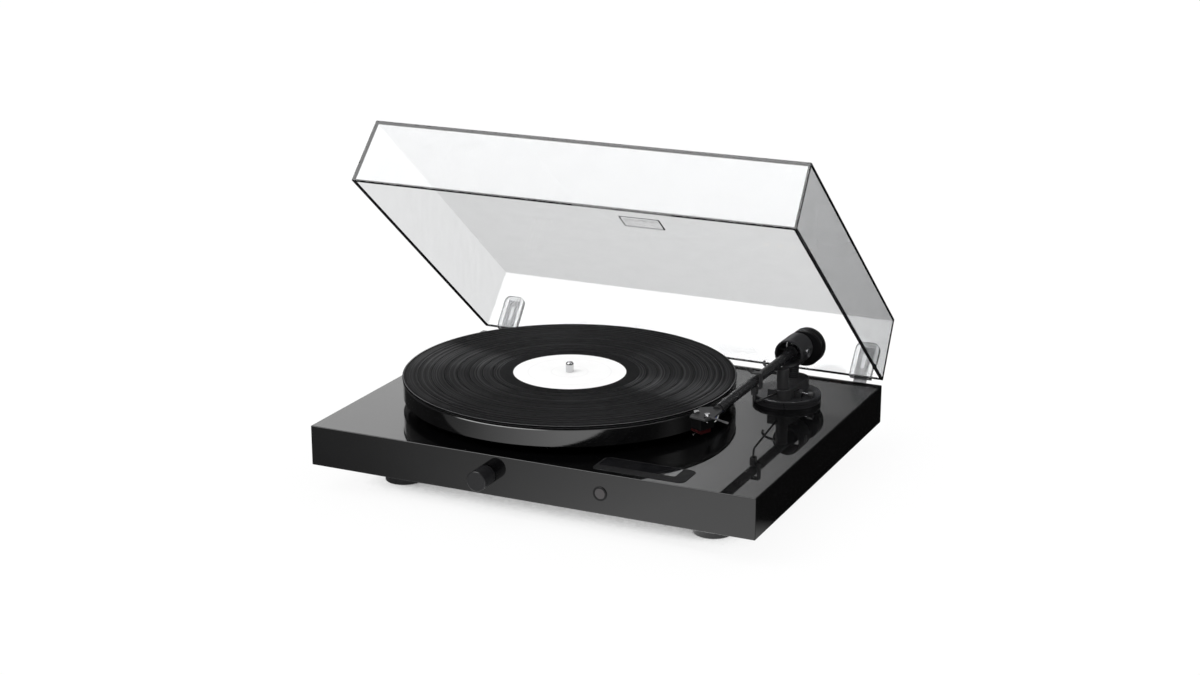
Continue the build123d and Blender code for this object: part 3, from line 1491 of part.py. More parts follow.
with BuildPart() as hinge_brackets:
    for side in (-1, 1):
        with BuildSketch(facing_back(side * hinge_x, back_y, -bracket_top - bracket_height / 2)):
            RectangleRounded(bracket_width, bracket_height, bracket_corner)
        extrude(amount=bracket_thickness)
        with BuildSketch(facing_back(side * hinge_x, back_y, -bracket_top - bracket_notch_depth / 2)):
            Rectangle(bracket_notch, bracket_notch_depth)
        extrude(amount=bracket_thickness, mode=Mode.SUBTRACT)
        for ear_start in (-hinge_pin_reach, bracket_notch / 2):
            with BuildSketch(across_hinge(side * hinge_x + ear_start)):
                Circle(ear_radius)
                with Locations((-pin_back / 2, 0)):
                    Rectangle(pin_back, 2 * ear_radius)
            extrude(amount=ear_width)
        with BuildSketch(across_hinge(side * hinge_x - hinge_pin_reach)):
            Circle(hinge_pin_radius)
        extrude(amount=2 * hinge_pin_reach, mode=Mode.SUBTRACT)
    with BuildSketch(facing_back(0, back_y, 0)):
        with Locations(*[(side * hinge_x, z) for side in (-1, 1) for z in hinge_screw_z]):
            Circle(screw_radius)
    extrude(amount=bracket_thickness, mode=Mode.SUBTRACT)
keep(hinge_brackets.part, "hinge_brackets")

hinge_screws_at = [(side * hinge_x, z) for side in (-1, 1) for z in hinge_screw_z]
panel_screws_at = [(-panel_x + side * panel_screw_x, panel_z) for side in (-1, 1)]

with BuildPart() as rear_screws:
    for places, seat in ((hinge_screws_at, back_y + bracket_thickness), (panel_screws_at, back_y)):
        with BuildSketch(facing_back(0, seat - screw_short, 0)):
            with Locations(*places):
                Circle(screw_radius)
        extrude(amount=screw_short)
        with BuildSketch(facing_back(0, seat, 0)):
            with Locations(*places):
                Circle(screw_head_radius)
                RegularPolygon(drive_radius, 6, mode=Mode.SUBTRACT)
        extrude(amount=screw_head)
keep(rear_screws.part, "rear_screws")
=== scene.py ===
"""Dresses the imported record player: finishes, fine pieces, a plain studio and a camera."""

from __future__ import annotations

import json
import logging
import math
from abc import ABC, abstractmethod
from dataclasses import dataclass, field
from enum import Enum
from typing import Callable, Sequence, Union

import bmesh
import bpy
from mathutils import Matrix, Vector

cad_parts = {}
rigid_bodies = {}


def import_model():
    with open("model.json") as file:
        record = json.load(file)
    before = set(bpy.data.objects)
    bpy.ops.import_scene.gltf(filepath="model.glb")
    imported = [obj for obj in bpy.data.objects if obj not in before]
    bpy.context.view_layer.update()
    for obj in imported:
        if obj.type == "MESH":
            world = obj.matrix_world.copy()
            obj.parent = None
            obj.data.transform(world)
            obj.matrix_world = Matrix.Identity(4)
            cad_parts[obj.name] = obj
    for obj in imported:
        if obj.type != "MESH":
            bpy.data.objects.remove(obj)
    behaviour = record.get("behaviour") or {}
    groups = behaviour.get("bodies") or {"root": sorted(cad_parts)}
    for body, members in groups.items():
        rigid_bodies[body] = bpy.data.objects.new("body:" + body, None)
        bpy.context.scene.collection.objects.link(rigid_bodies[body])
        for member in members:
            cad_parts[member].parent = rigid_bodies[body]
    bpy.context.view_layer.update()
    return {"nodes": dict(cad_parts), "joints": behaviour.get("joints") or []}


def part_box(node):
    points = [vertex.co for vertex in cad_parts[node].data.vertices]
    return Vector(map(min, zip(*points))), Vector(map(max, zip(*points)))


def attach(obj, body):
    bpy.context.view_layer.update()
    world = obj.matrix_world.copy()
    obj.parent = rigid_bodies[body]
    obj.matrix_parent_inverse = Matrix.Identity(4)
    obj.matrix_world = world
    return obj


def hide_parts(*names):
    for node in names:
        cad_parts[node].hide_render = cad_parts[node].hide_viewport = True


log = logging.getLogger("record_player")

Colour = tuple[float, float, float]
Socket = bpy.types.NodeSocket
Setting = Union[Socket, float, int, tuple, str]

WHITE: Colour = (1.0, 1.0, 1.0)

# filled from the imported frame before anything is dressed
RECORD: dict = {}
LIMITS: dict[str, list[float]] = {}

# the corners of a rectangle, in order round it
CORNERS = ((-1, -1), (1, -1), (1, 1), (-1, 1))

# how a node tree is laid out, and which sockets of a mix carry colours
NODE_WIDTH = 220
NODE_HEIGHT = 260
NODES_PER_ROW = 12
COLOUR_INPUTS = (6, 7)
COLOUR_OUTPUT = 2

# the span that most of a noise's values lie in
NOISE_CORE = (0.3, 0.7)


class Metal(Enum):
    """Bare metal colours used on the player."""

    STEEL = (0.66, 0.66, 0.67)
    BLACK_STEEL = (0.10, 0.10, 0.105)
    CHROME = (0.86, 0.86, 0.87)
    ALUMINIUM = (0.72, 0.72, 0.73)
    BRASS = (0.74, 0.56, 0.27)
    GOLD = (0.86, 0.66, 0.30)


class Moulded(Enum):
    """Colours of the moulded plastics and rubber."""

    BLACK = (0.018, 0.018, 0.019)
    SOFT_BLACK = (0.028, 0.028, 0.029)
    CHARCOAL = (0.045, 0.045, 0.047)
    RED = (0.50, 0.012, 0.010)
    WHITE = (0.80, 0.80, 0.78)


def direction(azimuth: float, elevation: float) -> Vector:
    """Points from the player towards a place around it.

    Args:
        azimuth: degrees from the front towards the right.
        elevation: degrees above the table.

    Returns:
        A unit vector.
    """
    a, e = math.radians(azimuth), math.radians(elevation)
    return Vector((math.sin(a) * math.cos(e), -math.cos(a) * math.cos(e), math.sin(e)))


# ------------------------------------------------------------------ node wiring
class Wiring:
    """Lays out the nodes of one material or world, a step at a time."""

    def __init__(self, tree: bpy.types.NodeTree) -> None:
        """Starts from an empty tree.

        Args:
            tree: the node tree to fill.
        """
        self.tree = tree
        self.tree.nodes.clear()
        self.count = 0

    def node(self, kind: str, inputs: dict[str | int, Setting] | None = None,
             **options: object) -> bpy.types.Node:
        """Adds a node, sets its options and fills its inputs.

        Args:
            kind: the node's type name.
            inputs: values or sockets by input name or number.
            options: attributes of the node itself.

        Returns:
            The new node.
        """
        made = self.tree.nodes.new(kind)
        row, column = divmod(self.count, NODES_PER_ROW)
        made.location = (NODE_WIDTH * column, -NODE_HEIGHT * row)
        self.count += 1
        for key, value in options.items():
            setattr(made, key, value)
        for key, value in (inputs or {}).items():
            self.fill(made.inputs[key], value)
        return made

    def fill(self, socket: Socket, value: Setting) -> None:
        """Links a socket into an input, or writes a plain value on it.

        Args:
            socket: the input to fill.
            value: a socket, number, vector or colour.
        """
        if isinstance(value, bpy.types.NodeSocket):
            self.tree.links.new(value, socket)
        elif socket.type == "RGBA" and len(value) == 3:
            socket.default_value = (*value, 1.0)
        else:
            socket.default_value = value

    def place(self) -> Socket:
        """Where a point lies in the player's own frame."""
        return self.node("ShaderNodeTexCoord").outputs["Object"]

    def maths(self, kind: str, first: Setting, second: Setting = 0.0, third: Setting = 0.0) -> Socket:
        """One arithmetic step.

        Args:
            kind: the operation's name.
            first: first operand.
            second: second operand.
            third: third operand, for the operations that have one.

        Returns:
            The result.
        """
        made = self.node("ShaderNodeMath", operation=kind)
        for socket, value in zip(made.inputs, (first, second, third)):
            self.fill(socket, value)
        return made.outputs[0]

    def vector(self, kind: str, first: Setting, second: Setting | None = None) -> bpy.types.Node:
        """One vector step.

        Args:
            kind: the operation's name.
            first: first vector.
            second: second vector, if the operation has one.

        Returns:
            The node, whose outputs are Vector and Value.
        """
        made = self.node("ShaderNodeVectorMath", operation=kind)
        self.fill(made.inputs[0], first)
        if second is not None:
            self.fill(made.inputs[1], second)
        return made

    def span(self, value: Setting, low: float, high: float, start: float = 0.0, end: float = 1.0,
             soft: bool = False) -> Socket:
        """Carries a value from one range to another and holds it there.

        Args:
            value: what to carry.
            low: value that gives start.
            high: value that gives end.
            start: result at low.
            end: result at high.
            soft: whether the ends ease in.

        Returns:
            The mapped value.
        """
        easing = "SMOOTHSTEP" if soft else "LINEAR"
        made = self.node("ShaderNodeMapRange", interpolation_type=easing, clamp=True)
        for socket, number in zip(made.inputs, (value, low, high, start, end)):
            self.fill(socket, number)
        return made.outputs[0]

    def grain(self, where: Socket, scale: float, detail: float = 2.0, roughness: float = 0.5,
              stretch: Sequence[float] = (1.0, 1.0, 1.0)) -> Socket:
        """Cloudy noise at a given size.

        Args:
            where: the place to read it at.
            scale: features per metre.
            detail: octaves of finer noise.
            roughness: how strong the finer noise is.
            stretch: scale factors along X, Y and Z.

        Returns:
            A value around 0.5.
        """
        spread = self.vector("MULTIPLY", where, tuple(stretch)).outputs["Vector"]
        made = self.node("ShaderNodeTexNoise",
                         {"Vector": spread, "Scale": scale, "Detail": detail, "Roughness": roughness})
        return made.outputs["Fac"]

    def blend(self, share: Setting, first: Setting, second: Setting) -> Socket:
        """Mixes two colours.

        Args:
            share: how much of the second.
            first: colour at share 0.
            second: colour at share 1.

        Returns:
            The mixed colour.
        """
        made = self.node("ShaderNodeMix", data_type="RGBA")
        self.fill(made.inputs["Factor"], share)
        for index, colour in zip(COLOUR_INPUTS, (first, second)):
            self.fill(made.inputs[index], colour)
        return made.outputs[COLOUR_OUTPUT]

    def relief(self, height: Socket, depth: float, strength: float = 1.0,
               under: Socket | None = None) -> Socket:
        """Turns a height into a surface relief.

        Args:
            height: 0 for low and 1 for high.
            depth: metres between them.
            strength: share of the relief that is used.
            under: a relief that this one lies on.

        Returns:
            The normal to give a shader.
        """
        made = self.node("ShaderNodeBump", {"Height": height, "Strength": strength, "Distance": depth})
        if under is not None:
            self.fill(made.inputs["Normal"], under)
        return made.outputs["Normal"]

    def away_from(self, where: Socket, centre: Sequence[float], axis: str = "Z") -> Socket:
        """Distance from an axis through a centre.

        Args:
            where: the place to measure.
            centre: a point on the axis.
            axis: the letter of the axis's direction.

        Returns:
            The distance in metres.
        """
        keep = tuple(0.0 if axis == letter else 1.0 for letter in "XYZ")
        offset = self.vector("SUBTRACT", where, tuple(centre)).outputs["Vector"]
        across = self.vector("MULTIPLY", offset, keep).outputs["Vector"]
        return self.vector("LENGTH", across).outputs["Value"]

    def along(self, where: Socket, letter: str) -> Socket:
        """One coordinate of a place."""
        return self.node("ShaderNodeSeparateXYZ", {0: where}).outputs[letter]

    def principled(self, inputs: dict[str | int, Setting]) -> Socket:
        """Adds a principled shader with its inputs filled."""
        return self.node("ShaderNodeBsdfPrincipled", inputs).outputs["BSDF"]

    def mix(self, share: Socket, first: Socket, second: Socket) -> Socket:
        """Mixes two shaders by the share of the second."""
        return self.node("ShaderNodeMixShader", {0: share, 1: first, 2: second}).outputs[0]

    def surface(self, shader: Socket) -> None:
        """Sends a shader to the material's output."""
        self.node("ShaderNodeOutputMaterial", {"Surface": shader})


class Finish(ABC):
    """A surface finish that can be laid on any number of pieces."""

    name: str

    @abstractmethod
    def shade(self, wiring: Wiring) -> Socket:
        """Wires the finish up.

        Args:
            wiring: the empty node tree.

        Returns:
            The shader socket.
        """

    def material(self) -> bpy.types.Material:
        """The finish as a material, made once for each name.

        Returns:
            The material.
        """
        found = bpy.data.materials.get("finish_" + self.name)
        if found is not None:
            return found
        made = bpy.data.materials.new("finish_" + self.name)
        made.use_nodes = True
        wiring = Wiring(made.node_tree)
        wiring.surface(self.shade(wiring))
        return made


@dataclass(frozen=True)
class Lacquer(Finish):
    """Polished black lacquer over wood, under a hard clear coat."""

    name: str = "piano_lacquer"
    colour: Colour = (0.0012, 0.0012, 0.0014)
    cloud: Colour = (0.0018, 0.0018, 0.002)
    swell_scale: float = 9.0
    polish_scale: float = 40.0

    def shade(self, wiring: Wiring) -> Socket:
        """Wires the lacquer.

        Args:
            wiring: the empty node tree.

        Returns:
            The shader socket.
        """
        where = wiring.place()
        swell = wiring.grain(where, self.swell_scale, detail=0.0, roughness=0.4)
        polish = wiring.grain(where, self.polish_scale, detail=2.0, roughness=0.5)
        tone = wiring.blend(wiring.span(polish, 0.35, 0.7), self.colour, self.cloud)
        return wiring.principled({
            "Base Color": tone,
            "Roughness": wiring.span(polish, *NOISE_CORE, 0.30, 0.34),
            "IOR": 1.45,
            "Specular IOR Level": 0.04,
            "Coat Weight": 1.0,
            "Coat Roughness": 0.008,
            "Coat IOR": 1.52,
            "Normal": wiring.relief(swell, 0.00008, strength=0.5),
            "Coat Normal": wiring.relief(swell, 0.00001, strength=0.1),
        })


@dataclass(frozen=True)
class Moulding(Finish):
    """Moulded plastic or rubber with a fine etched grain and patches of handling polish."""

    name: str
    colour: Colour = Moulded.BLACK.value
    roughness: float = 0.45
    grain: float = 2600.0
    depth: float = 0.00003
    sheen: float = 0.0
    specular: float = 0.5
    patch_scale: float = 90.0
    patch_swing: float = 0.06

    def shade(self, wiring: Wiring) -> Socket:
        """Wires the moulding.

        Args:
            wiring: the empty node tree.

        Returns:
            The shader socket.
        """
        where = wiring.place()
        etched = wiring.grain(where, self.grain, detail=3.0, roughness=0.6)
        patches = wiring.grain(where, self.patch_scale, detail=3.0, roughness=0.5)
        lighter = tuple(min(1.0, channel * 1.35 + 0.003) for channel in self.colour)
        return wiring.principled({
            "Base Color": wiring.blend(wiring.span(etched, 0.35, 0.7), self.colour, lighter),
            "Roughness": wiring.span(patches, *NOISE_CORE, self.roughness - self.patch_swing,
                                     self.roughness + self.patch_swing),
            "IOR": 1.5,
            "Specular IOR Level": self.specular,
            "Sheen Weight": self.sheen,
            "Normal": wiring.relief(etched, self.depth, strength=0.6),
        })


@dataclass(frozen=True)
class SatinMetal(Finish):
    """Blasted, anodised or plated metal, with a fine tooth and slight cloudiness."""

    name: str
    colour: Colour = Metal.STEEL.value
    roughness: float = 0.3
    metallic: float = 1.0
    grain: float = 3200.0
    stretch: tuple[float, float, float] = (1.0, 1.0, 1.0)
    coat: float = 0.0
    specular: float = 0.5
    cloud_scale: float = 120.0
    cloud_shade: float = 0.82

    def shade(self, wiring: Wiring) -> Socket:
        """Wires the metal.

        Args:
            wiring: the empty node tree.

        Returns:
            The shader socket.
        """
        where = wiring.place()
        tooth = wiring.grain(where, self.grain, detail=2.0, roughness=0.6, stretch=self.stretch)
        cloud = wiring.grain(where, self.cloud_scale, detail=3.0, roughness=0.55)
        darker = tuple(channel * self.cloud_shade for channel in self.colour)
        return wiring.principled({
            "Base Color": wiring.blend(wiring.span(cloud, *NOISE_CORE), darker, self.colour),
            "Metallic": self.metallic,
            "Roughness": wiring.span(tooth, *NOISE_CORE, self.roughness - 0.05, self.roughness + 0.07),
            "IOR": 1.5,
            "Specular IOR Level": self.specular,
            "Coat Weight": self.coat,
            "Coat Roughness": 0.08,
            "Normal": wiring.relief(tooth, 0.00002, strength=0.5),
        })


@dataclass(frozen=True)
class TurnedMetal(Finish):
    """Metal faced on a lathe: fine rings around one axis, with painted shade in the ring troughs."""

    name: str
    colour: Colour
    centre: tuple[float, float, float]
    axis: str = "Z"
    pitch: float = 0.0005
    roughness: float = 0.25
    metallic: float = 1.0
    depth: float = 0.000012
    specular: float = 0.5
    uneven_scale: float = 260.0
    ring_shade: float = 0.8

    def shade(self, wiring: Wiring) -> Socket:
        """Wires the turned metal.

        Args:
            wiring: the empty node tree.

        Returns:
            The shader socket.
        """
        where = wiring.place()
        away = wiring.away_from(where, self.centre, self.axis)
        lengthwise = wiring.along(where, self.axis)
        turns = wiring.maths("ADD", away, lengthwise)
        rings = wiring.maths("SINE", wiring.maths("MULTIPLY", turns, math.tau / self.pitch))
        uneven = wiring.grain(where, self.uneven_scale, detail=3.0, roughness=0.6)
        height = wiring.maths("MULTIPLY_ADD", rings, 0.5, uneven)
        # painted shade in the ring troughs, mixed with random unevenness: the colour darkens where the
        # height is low
        darker = tuple(channel * self.ring_shade for channel in self.colour)
        return wiring.principled({
            "Base Color": wiring.blend(wiring.span(height, -0.2, 1.2), darker, self.colour),
            "Metallic": self.metallic,
            "Roughness": wiring.span(uneven, *NOISE_CORE, self.roughness - 0.04, self.roughness + 0.06),
            "IOR": 1.5,
            "Specular IOR Level": self.specular,
            "Normal": wiring.relief(height, self.depth, strength=0.5),
        })


@dataclass(frozen=True)
class GrooveVinyl(Finish):
    """Pressed vinyl: grooves in bands, smooth gaps between tracks, a glossy lead-in and run-out, and a
    painted highlight on the rounded rim.
    """

    centre: tuple[float, float, float]
    name: str = "pressed_vinyl"
    run_out: float = 0.0628
    lead_in: float = 0.1465
    gaps: tuple[float, ...] = (0.0690, 0.0785, 0.0905, 0.1010, 0.1125, 0.1245, 0.1360)
    gap_width: float = 0.0006
    smooth_colour: Colour = (0.0018, 0.0018, 0.0021)
    cut_colour: Colour = (0.014, 0.014, 0.0145)
    # painted highlight: a lighter colour on the record's rounded rim, where it would catch the light
    lip_highlight_colour: Colour = (0.045, 0.045, 0.046)
    wall_colour: Colour = (0.060, 0.060, 0.061)
    wall_between: Colour = (0.0008, 0.0008, 0.0009)
    groove_depth: float = 0.00006
    rounded: tuple[float, float] = (0.1491, 0.0005)
    groove_scale: float = 2400.0
    passage_scale: float = 420.0
    track_scale: float = 70.0

    def shade(self, wiring: Wiring) -> Socket:
        """Wires the vinyl.

        Args:
            wiring: the empty node tree.

        Returns:
            The shader socket.
        """
        where = wiring.place()
        away = wiring.away_from(where, self.centre)
        reading = wiring.node("ShaderNodeCombineXYZ", {"X": away}).outputs[0]
        fine = wiring.grain(reading, self.groove_scale, detail=2.0, roughness=0.7)
        passage = wiring.grain(reading, self.passage_scale, detail=3.0, roughness=0.6)
        track = wiring.grain(reading, self.track_scale, detail=2.0, roughness=0.5)
        smooth = wiring.maths("GREATER_THAN", away, self.lead_in)
        smooth = wiring.maths("MAXIMUM", smooth, wiring.maths("LESS_THAN", away, self.run_out))
        for radius in self.gaps:
            near = wiring.maths("COMPARE", away, radius, self.gap_width)
            smooth = wiring.maths("MAXIMUM", smooth, near)
        level = wiring.span(track, *NOISE_CORE, 0.35, 1.0)
        loud = wiring.maths("MULTIPLY", wiring.span(passage, 0.36, 0.64), level)
        cut = wiring.maths("MULTIPLY", loud, wiring.maths("SUBTRACT", 1.0, smooth))
        tone = wiring.blend(cut, self.smooth_colour, self.cut_colour)
        # painted highlight on the rounded rim, which also raises the grooves' gloss colour there
        painted_lip_highlight = wiring.maths("COMPARE", away, *self.rounded)
        tone = wiring.blend(painted_lip_highlight, tone, self.lip_highlight_colour)
        shine = wiring.maths("MAXIMUM", cut, painted_lip_highlight)
        spread = wiring.span(cut, 0.0, 1.0, 0.16, 0.40)
        grooves = wiring.maths("MULTIPLY", fine, wiring.maths("SUBTRACT", 1.0, smooth))
        shader = wiring.principled({
            "Base Color": tone,
            "Roughness": spread,
            "IOR": 1.54,
            "Specular IOR Level": 0.004,
            "Anisotropic": 0.9,
            "Anisotropic Rotation": 0.25,
            "Tangent": wiring.node("ShaderNodeTangent", direction_type="RADIAL", axis="Z").outputs[0],
            "Normal": wiring.relief(grooves, self.groove_depth, strength=0.55),
        })
        walls = wiring.node("ShaderNodeBsdfAnisotropic", {
            "Color": wiring.blend(shine, self.wall_between, self.wall_colour),
            "Roughness": 0.34,
            "Anisotropy": 0.93,
            "Rotation": 0.25,
            "Normal": wiring.relief(grooves, self.groove_depth, strength=0.4),
            "Tangent": wiring.node("ShaderNodeTangent", direction_type="RADIAL", axis="Z").outputs[0],
        })
        return wiring.node("ShaderNodeAddShader", {0: shader, 1: walls.outputs[0]}).outputs[0]


@dataclass(frozen=True)
class LabelPaper(Finish):
    """Plain white label paper pressed into the record, with the press's shallow rings sunk by a relief
    and darkened by painted shade.
    """

    centre: tuple[float, float, float]
    name: str = "label_paper"
    rings: tuple[float, ...] = (0.0165, 0.0375)
    ring_width: float = 0.0005
    ring_depth: float = 0.00008
    fibre_scale: float = 1500.0
    stain_scale: float = 60.0
    stained: Colour = (0.93, 0.93, 0.925)
    clean: Colour = (0.96, 0.96, 0.955)
    # painted shade: the colour that the pressed rings are darkened towards
    ring_shade_colour: Colour = (0.78, 0.78, 0.78)
    ring_shade_share: float = 0.35

    def shade(self, wiring: Wiring) -> Socket:
        """Wires the paper.

        Args:
            wiring: the empty node tree.

        Returns:
            The shader socket.
        """
        where = wiring.place()
        away = wiring.away_from(where, self.centre)
        fibres = wiring.grain(where, self.fibre_scale, detail=4.0, roughness=0.7)
        stain = wiring.grain(where, self.stain_scale, detail=3.0, roughness=0.5)
        ring = wiring.maths("COMPARE", away, self.rings[0], self.ring_width)
        for radius in self.rings[1:]:
            ring = wiring.maths("MAXIMUM", ring, wiring.maths("COMPARE", away, radius, self.ring_width))
        tone = wiring.blend(wiring.span(stain, 0.3, 0.75), self.stained, self.clean)
        # painted shade in the pressed rings
        tone = wiring.blend(wiring.maths("MULTIPLY", ring, self.ring_shade_share), tone, self.ring_shade_colour)
        bed = wiring.relief(fibres, 0.00002, strength=0.5)
        return wiring.principled({
            "Base Color": tone,
            "Roughness": wiring.span(fibres, *NOISE_CORE, 0.5, 0.62),
            "IOR": 1.45,
            "Normal": wiring.relief(wiring.maths("SUBTRACT", 1.0, ring), self.ring_depth,
                                    strength=0.6, under=bed),
        })


@dataclass(frozen=True)
class Felt(Finish):
    """Pressed wool felt."""

    name: str = "black_felt"
    colour: Colour = (0.022, 0.022, 0.023)
    fluff_colour: Colour = (0.05, 0.05, 0.052)
    fluff_scale: float = 1100.0
    matted_scale: float = 160.0

    def shade(self, wiring: Wiring) -> Socket:
        """Wires the felt.

        Args:
            wiring: the empty node tree.

        Returns:
            The shader socket.
        """
        where = wiring.place()
        fluff = wiring.grain(where, self.fluff_scale, detail=5.0, roughness=0.75)
        matted = wiring.grain(where, self.matted_scale, detail=4.0, roughness=0.6)
        tone = wiring.blend(wiring.span(fluff, 0.35, 0.7), self.colour, self.fluff_colour)
        return wiring.principled({
            "Base Color": tone,
            "Roughness": 0.95,
            "Sheen Weight": 0.4,
            "Sheen Roughness": 0.5,
            "Normal": wiring.relief(wiring.maths("ADD", fluff, matted), 0.0002, strength=0.8),
        })


@dataclass(frozen=True)
class ClearAcrylic(Finish):
    """Clear moulded acrylic with a trace of haze, which lets lamp light through to what it covers, and
    can take painted shade where its surface turns edge-on.
    """

    name: str
    tint: Colour = (0.88, 0.885, 0.89)
    haze: float = 0.004
    index: float = 1.49
    # share of painted shade laid where the surface turns edge-on, standing in for the dark outlines
    # refraction gives
    rim_shade: float = 0.0
    rim_shade_colour: Colour = (0.02, 0.02, 0.02)
    passing_tint: Colour = (0.975, 0.975, 0.978)
    wipe_scale: float = 45.0
    swell_scale: float = 9.0

    def shade(self, wiring: Wiring) -> Socket:
        """Wires the acrylic.

        Args:
            wiring: the empty node tree.

        Returns:
            The shader socket.
        """
        where = wiring.place()
        wipe = wiring.grain(where, self.wipe_scale, detail=4.0, roughness=0.6, stretch=(1.0, 3.0, 1.0))
        swell = wiring.grain(where, self.swell_scale, detail=1.0, roughness=0.4)
        cleaner = tuple(min(1.0, channel * 1.05) for channel in self.tint)
        # painted shade: the tint darkens towards a dark rim colour where the surface turns edge-on to
        # the view
        turned = wiring.node("ShaderNodeLayerWeight", {"Blend": 0.4}).outputs["Facing"]
        rim = wiring.span(turned, 0.25, 0.7, 0.0, self.rim_shade)
        tone = wiring.blend(wiring.span(wipe, 0.3, 0.8), self.tint, cleaner)
        glass = wiring.principled({
            "Base Color": wiring.blend(rim, tone, self.rim_shade_colour) if self.rim_shade else tone,
            "Roughness": wiring.span(wipe, 0.35, 0.75, 0.0, self.haze),
            "IOR": self.index,
            "Transmission Weight": 1.0,
            "Normal": wiring.relief(swell, 0.0001, strength=0.15),
        })
        passing = wiring.node("ShaderNodeBsdfTransparent", {"Color": self.passing_tint})
        path = wiring.node("ShaderNodeLightPath")
        lamps = wiring.maths("MAXIMUM", path.outputs["Is Shadow Ray"], path.outputs["Is Diffuse Ray"])
        return wiring.mix(lamps, glass, passing.outputs["BSDF"])


@dataclass(frozen=True)
class SmokedWindow(Finish):
    """Dark tinted acrylic over an unlit display."""

    name: str = "smoked_window"
    colour: Colour = (0.006, 0.006, 0.007)
    smear_colour: Colour = (0.012, 0.012, 0.013)
    smear_scale: float = 70.0

    def shade(self, wiring: Wiring) -> Socket:
        """Wires the window.

        Args:
            wiring: the empty node tree.

        Returns:
            The shader socket.
        """
        where = wiring.place()
        smear = wiring.grain(where, self.smear_scale, detail=4.0, roughness=0.6, stretch=(1.0, 2.0, 1.0))
        return wiring.principled({
            "Base Color": wiring.blend(wiring.span(smear, 0.3, 0.8), self.colour, self.smear_colour),
            "Roughness": wiring.span(smear, 0.35, 0.7, 0.03, 0.10),
            "IOR": 1.49,
            "Coat Weight": 0.5,
            "Coat Roughness": 0.02,
            "Normal": wiring.relief(smear, 0.00002, strength=0.3),
        })


@dataclass(frozen=True)
class Laminate(Finish):
    """Circuit board: green solder mask with faint copper tracks under it."""

    name: str = "solder_mask"
    pitch: float = 0.0032
    mask: Colour = (0.012, 0.10, 0.035)
    over_track: Colour = (0.03, 0.20, 0.07)
    warp_scale: float = 26.0
    warp_reach: float = 0.012

    def shade(self, wiring: Wiring) -> Socket:
        """Wires the laminate.

        Args:
            wiring: the empty node tree.

        Returns:
            The shader socket.
        """
        where = wiring.place()
        warp = wiring.grain(where, self.warp_scale, detail=1.0, roughness=0.4)
        x = wiring.maths("MULTIPLY_ADD", warp, self.warp_reach, wiring.along(where, "X"))
        wave = wiring.maths("SINE", wiring.maths("MULTIPLY", x, math.tau / self.pitch))
        track = wiring.span(wave, 0.55, 0.7)
        return wiring.principled({
            "Base Color": wiring.blend(track, self.mask, self.over_track),
            "Roughness": wiring.span(track, 0.0, 1.0, 0.28, 0.36),
            "Normal": wiring.relief(track, 0.00004, strength=0.6),
        })


@dataclass(frozen=True)
class TwoPart(Finish):
    """Two finishes on one solid, parted where one coordinate or pattern crosses a value."""

    name: str
    first: Colour
    second: Colour
    parting: Callable[[Wiring, Socket], Socket]
    first_metal: float = 1.0
    second_metal: float = 0.0
    first_roughness: float = 0.22
    second_roughness: float = 0.4
    tooth_scale: float = 2600.0

    def shade(self, wiring: Wiring) -> Socket:
        """Wires both finishes and the line between them.

        Args:
            wiring: the empty node tree.

        Returns:
            The shader socket.
        """
        where = wiring.place()
        share = self.parting(wiring, where)
        tooth = wiring.grain(where, self.tooth_scale, detail=2.0, roughness=0.6)
        lighter = tuple(channel * 1.3 + 0.003 for channel in self.second)
        second = wiring.blend(wiring.span(tooth, 0.35, 0.7), self.second, lighter)
        rough = wiring.span(share, 0.0, 1.0, self.first_roughness, self.second_roughness)
        return wiring.principled({
            "Base Color": wiring.blend(share, self.first, second),
            "Metallic": wiring.span(share, 0.0, 1.0, self.first_metal, self.second_metal),
            "Roughness": wiring.maths("MULTIPLY_ADD", tooth, 0.06, rough),
            "IOR": 1.5,
            "Normal": wiring.relief(tooth, 0.00002, strength=0.5),
        })


# ------------------------------------------------------------------ mesh building
def new_piece(name: str, mesh: bpy.types.Mesh, finish: Finish, body: str) -> bpy.types.Object:
    """Puts a mesh in the scene, finished and riding on its body.

    Args:
        name: the piece's name.
        mesh: its mesh, in the player's own frame.
        finish: its surface finish.
        body: the moving body that it belongs to.

    Returns:
        The new object.
    """
    made = bpy.data.objects.new(name, mesh)
    bpy.context.scene.collection.objects.link(made)
    mesh.materials.append(finish.material())
    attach(made, body)
    return made


def sweep_mesh(name: str, path: Sequence[Vector], radii: Sequence[float],
               sides: int = 12) -> bpy.types.Mesh:
    """Sweeps a round section along a path, with a radius at each point and closed ends.

    Args:
        name: the mesh's name.
        path: points of the centre line.
        radii: section radius at each point.
        sides: faces around the section.

    Returns:
        The mesh, shaded smooth.
    """
    bm = bmesh.new()
    rings = []
    normal = None
    for index, point in enumerate(path):
        ahead = path[min(index + 1, len(path) - 1)] - path[max(index - 1, 0)]
        ahead.normalize()
        if normal is None:
            normal = ahead.orthogonal().normalized()
        normal = (normal - ahead * normal.dot(ahead)).normalized()
        side = ahead.cross(normal)
        ring = []
        for step in range(sides):
            turn = math.tau * step / sides
            offset = (normal * math.cos(turn) + side * math.sin(turn)) * radii[index]
            ring.append(bm.verts.new(point + offset))
        rings.append(ring)
    for first, second in zip(rings, rings[1:]):
        for step in range(sides):
            after = (step + 1) % sides
            bm.faces.new((first[step], first[after], second[after], second[step]))
    bm.faces.new(list(reversed(rings[0])))
    bm.faces.new(rings[-1])
    bmesh.ops.recalc_face_normals(bm, faces=bm.faces)
    mesh = bpy.data.meshes.new(name)
    bm.to_mesh(mesh)
    bm.free()
    mesh.shade_smooth()
    return mesh


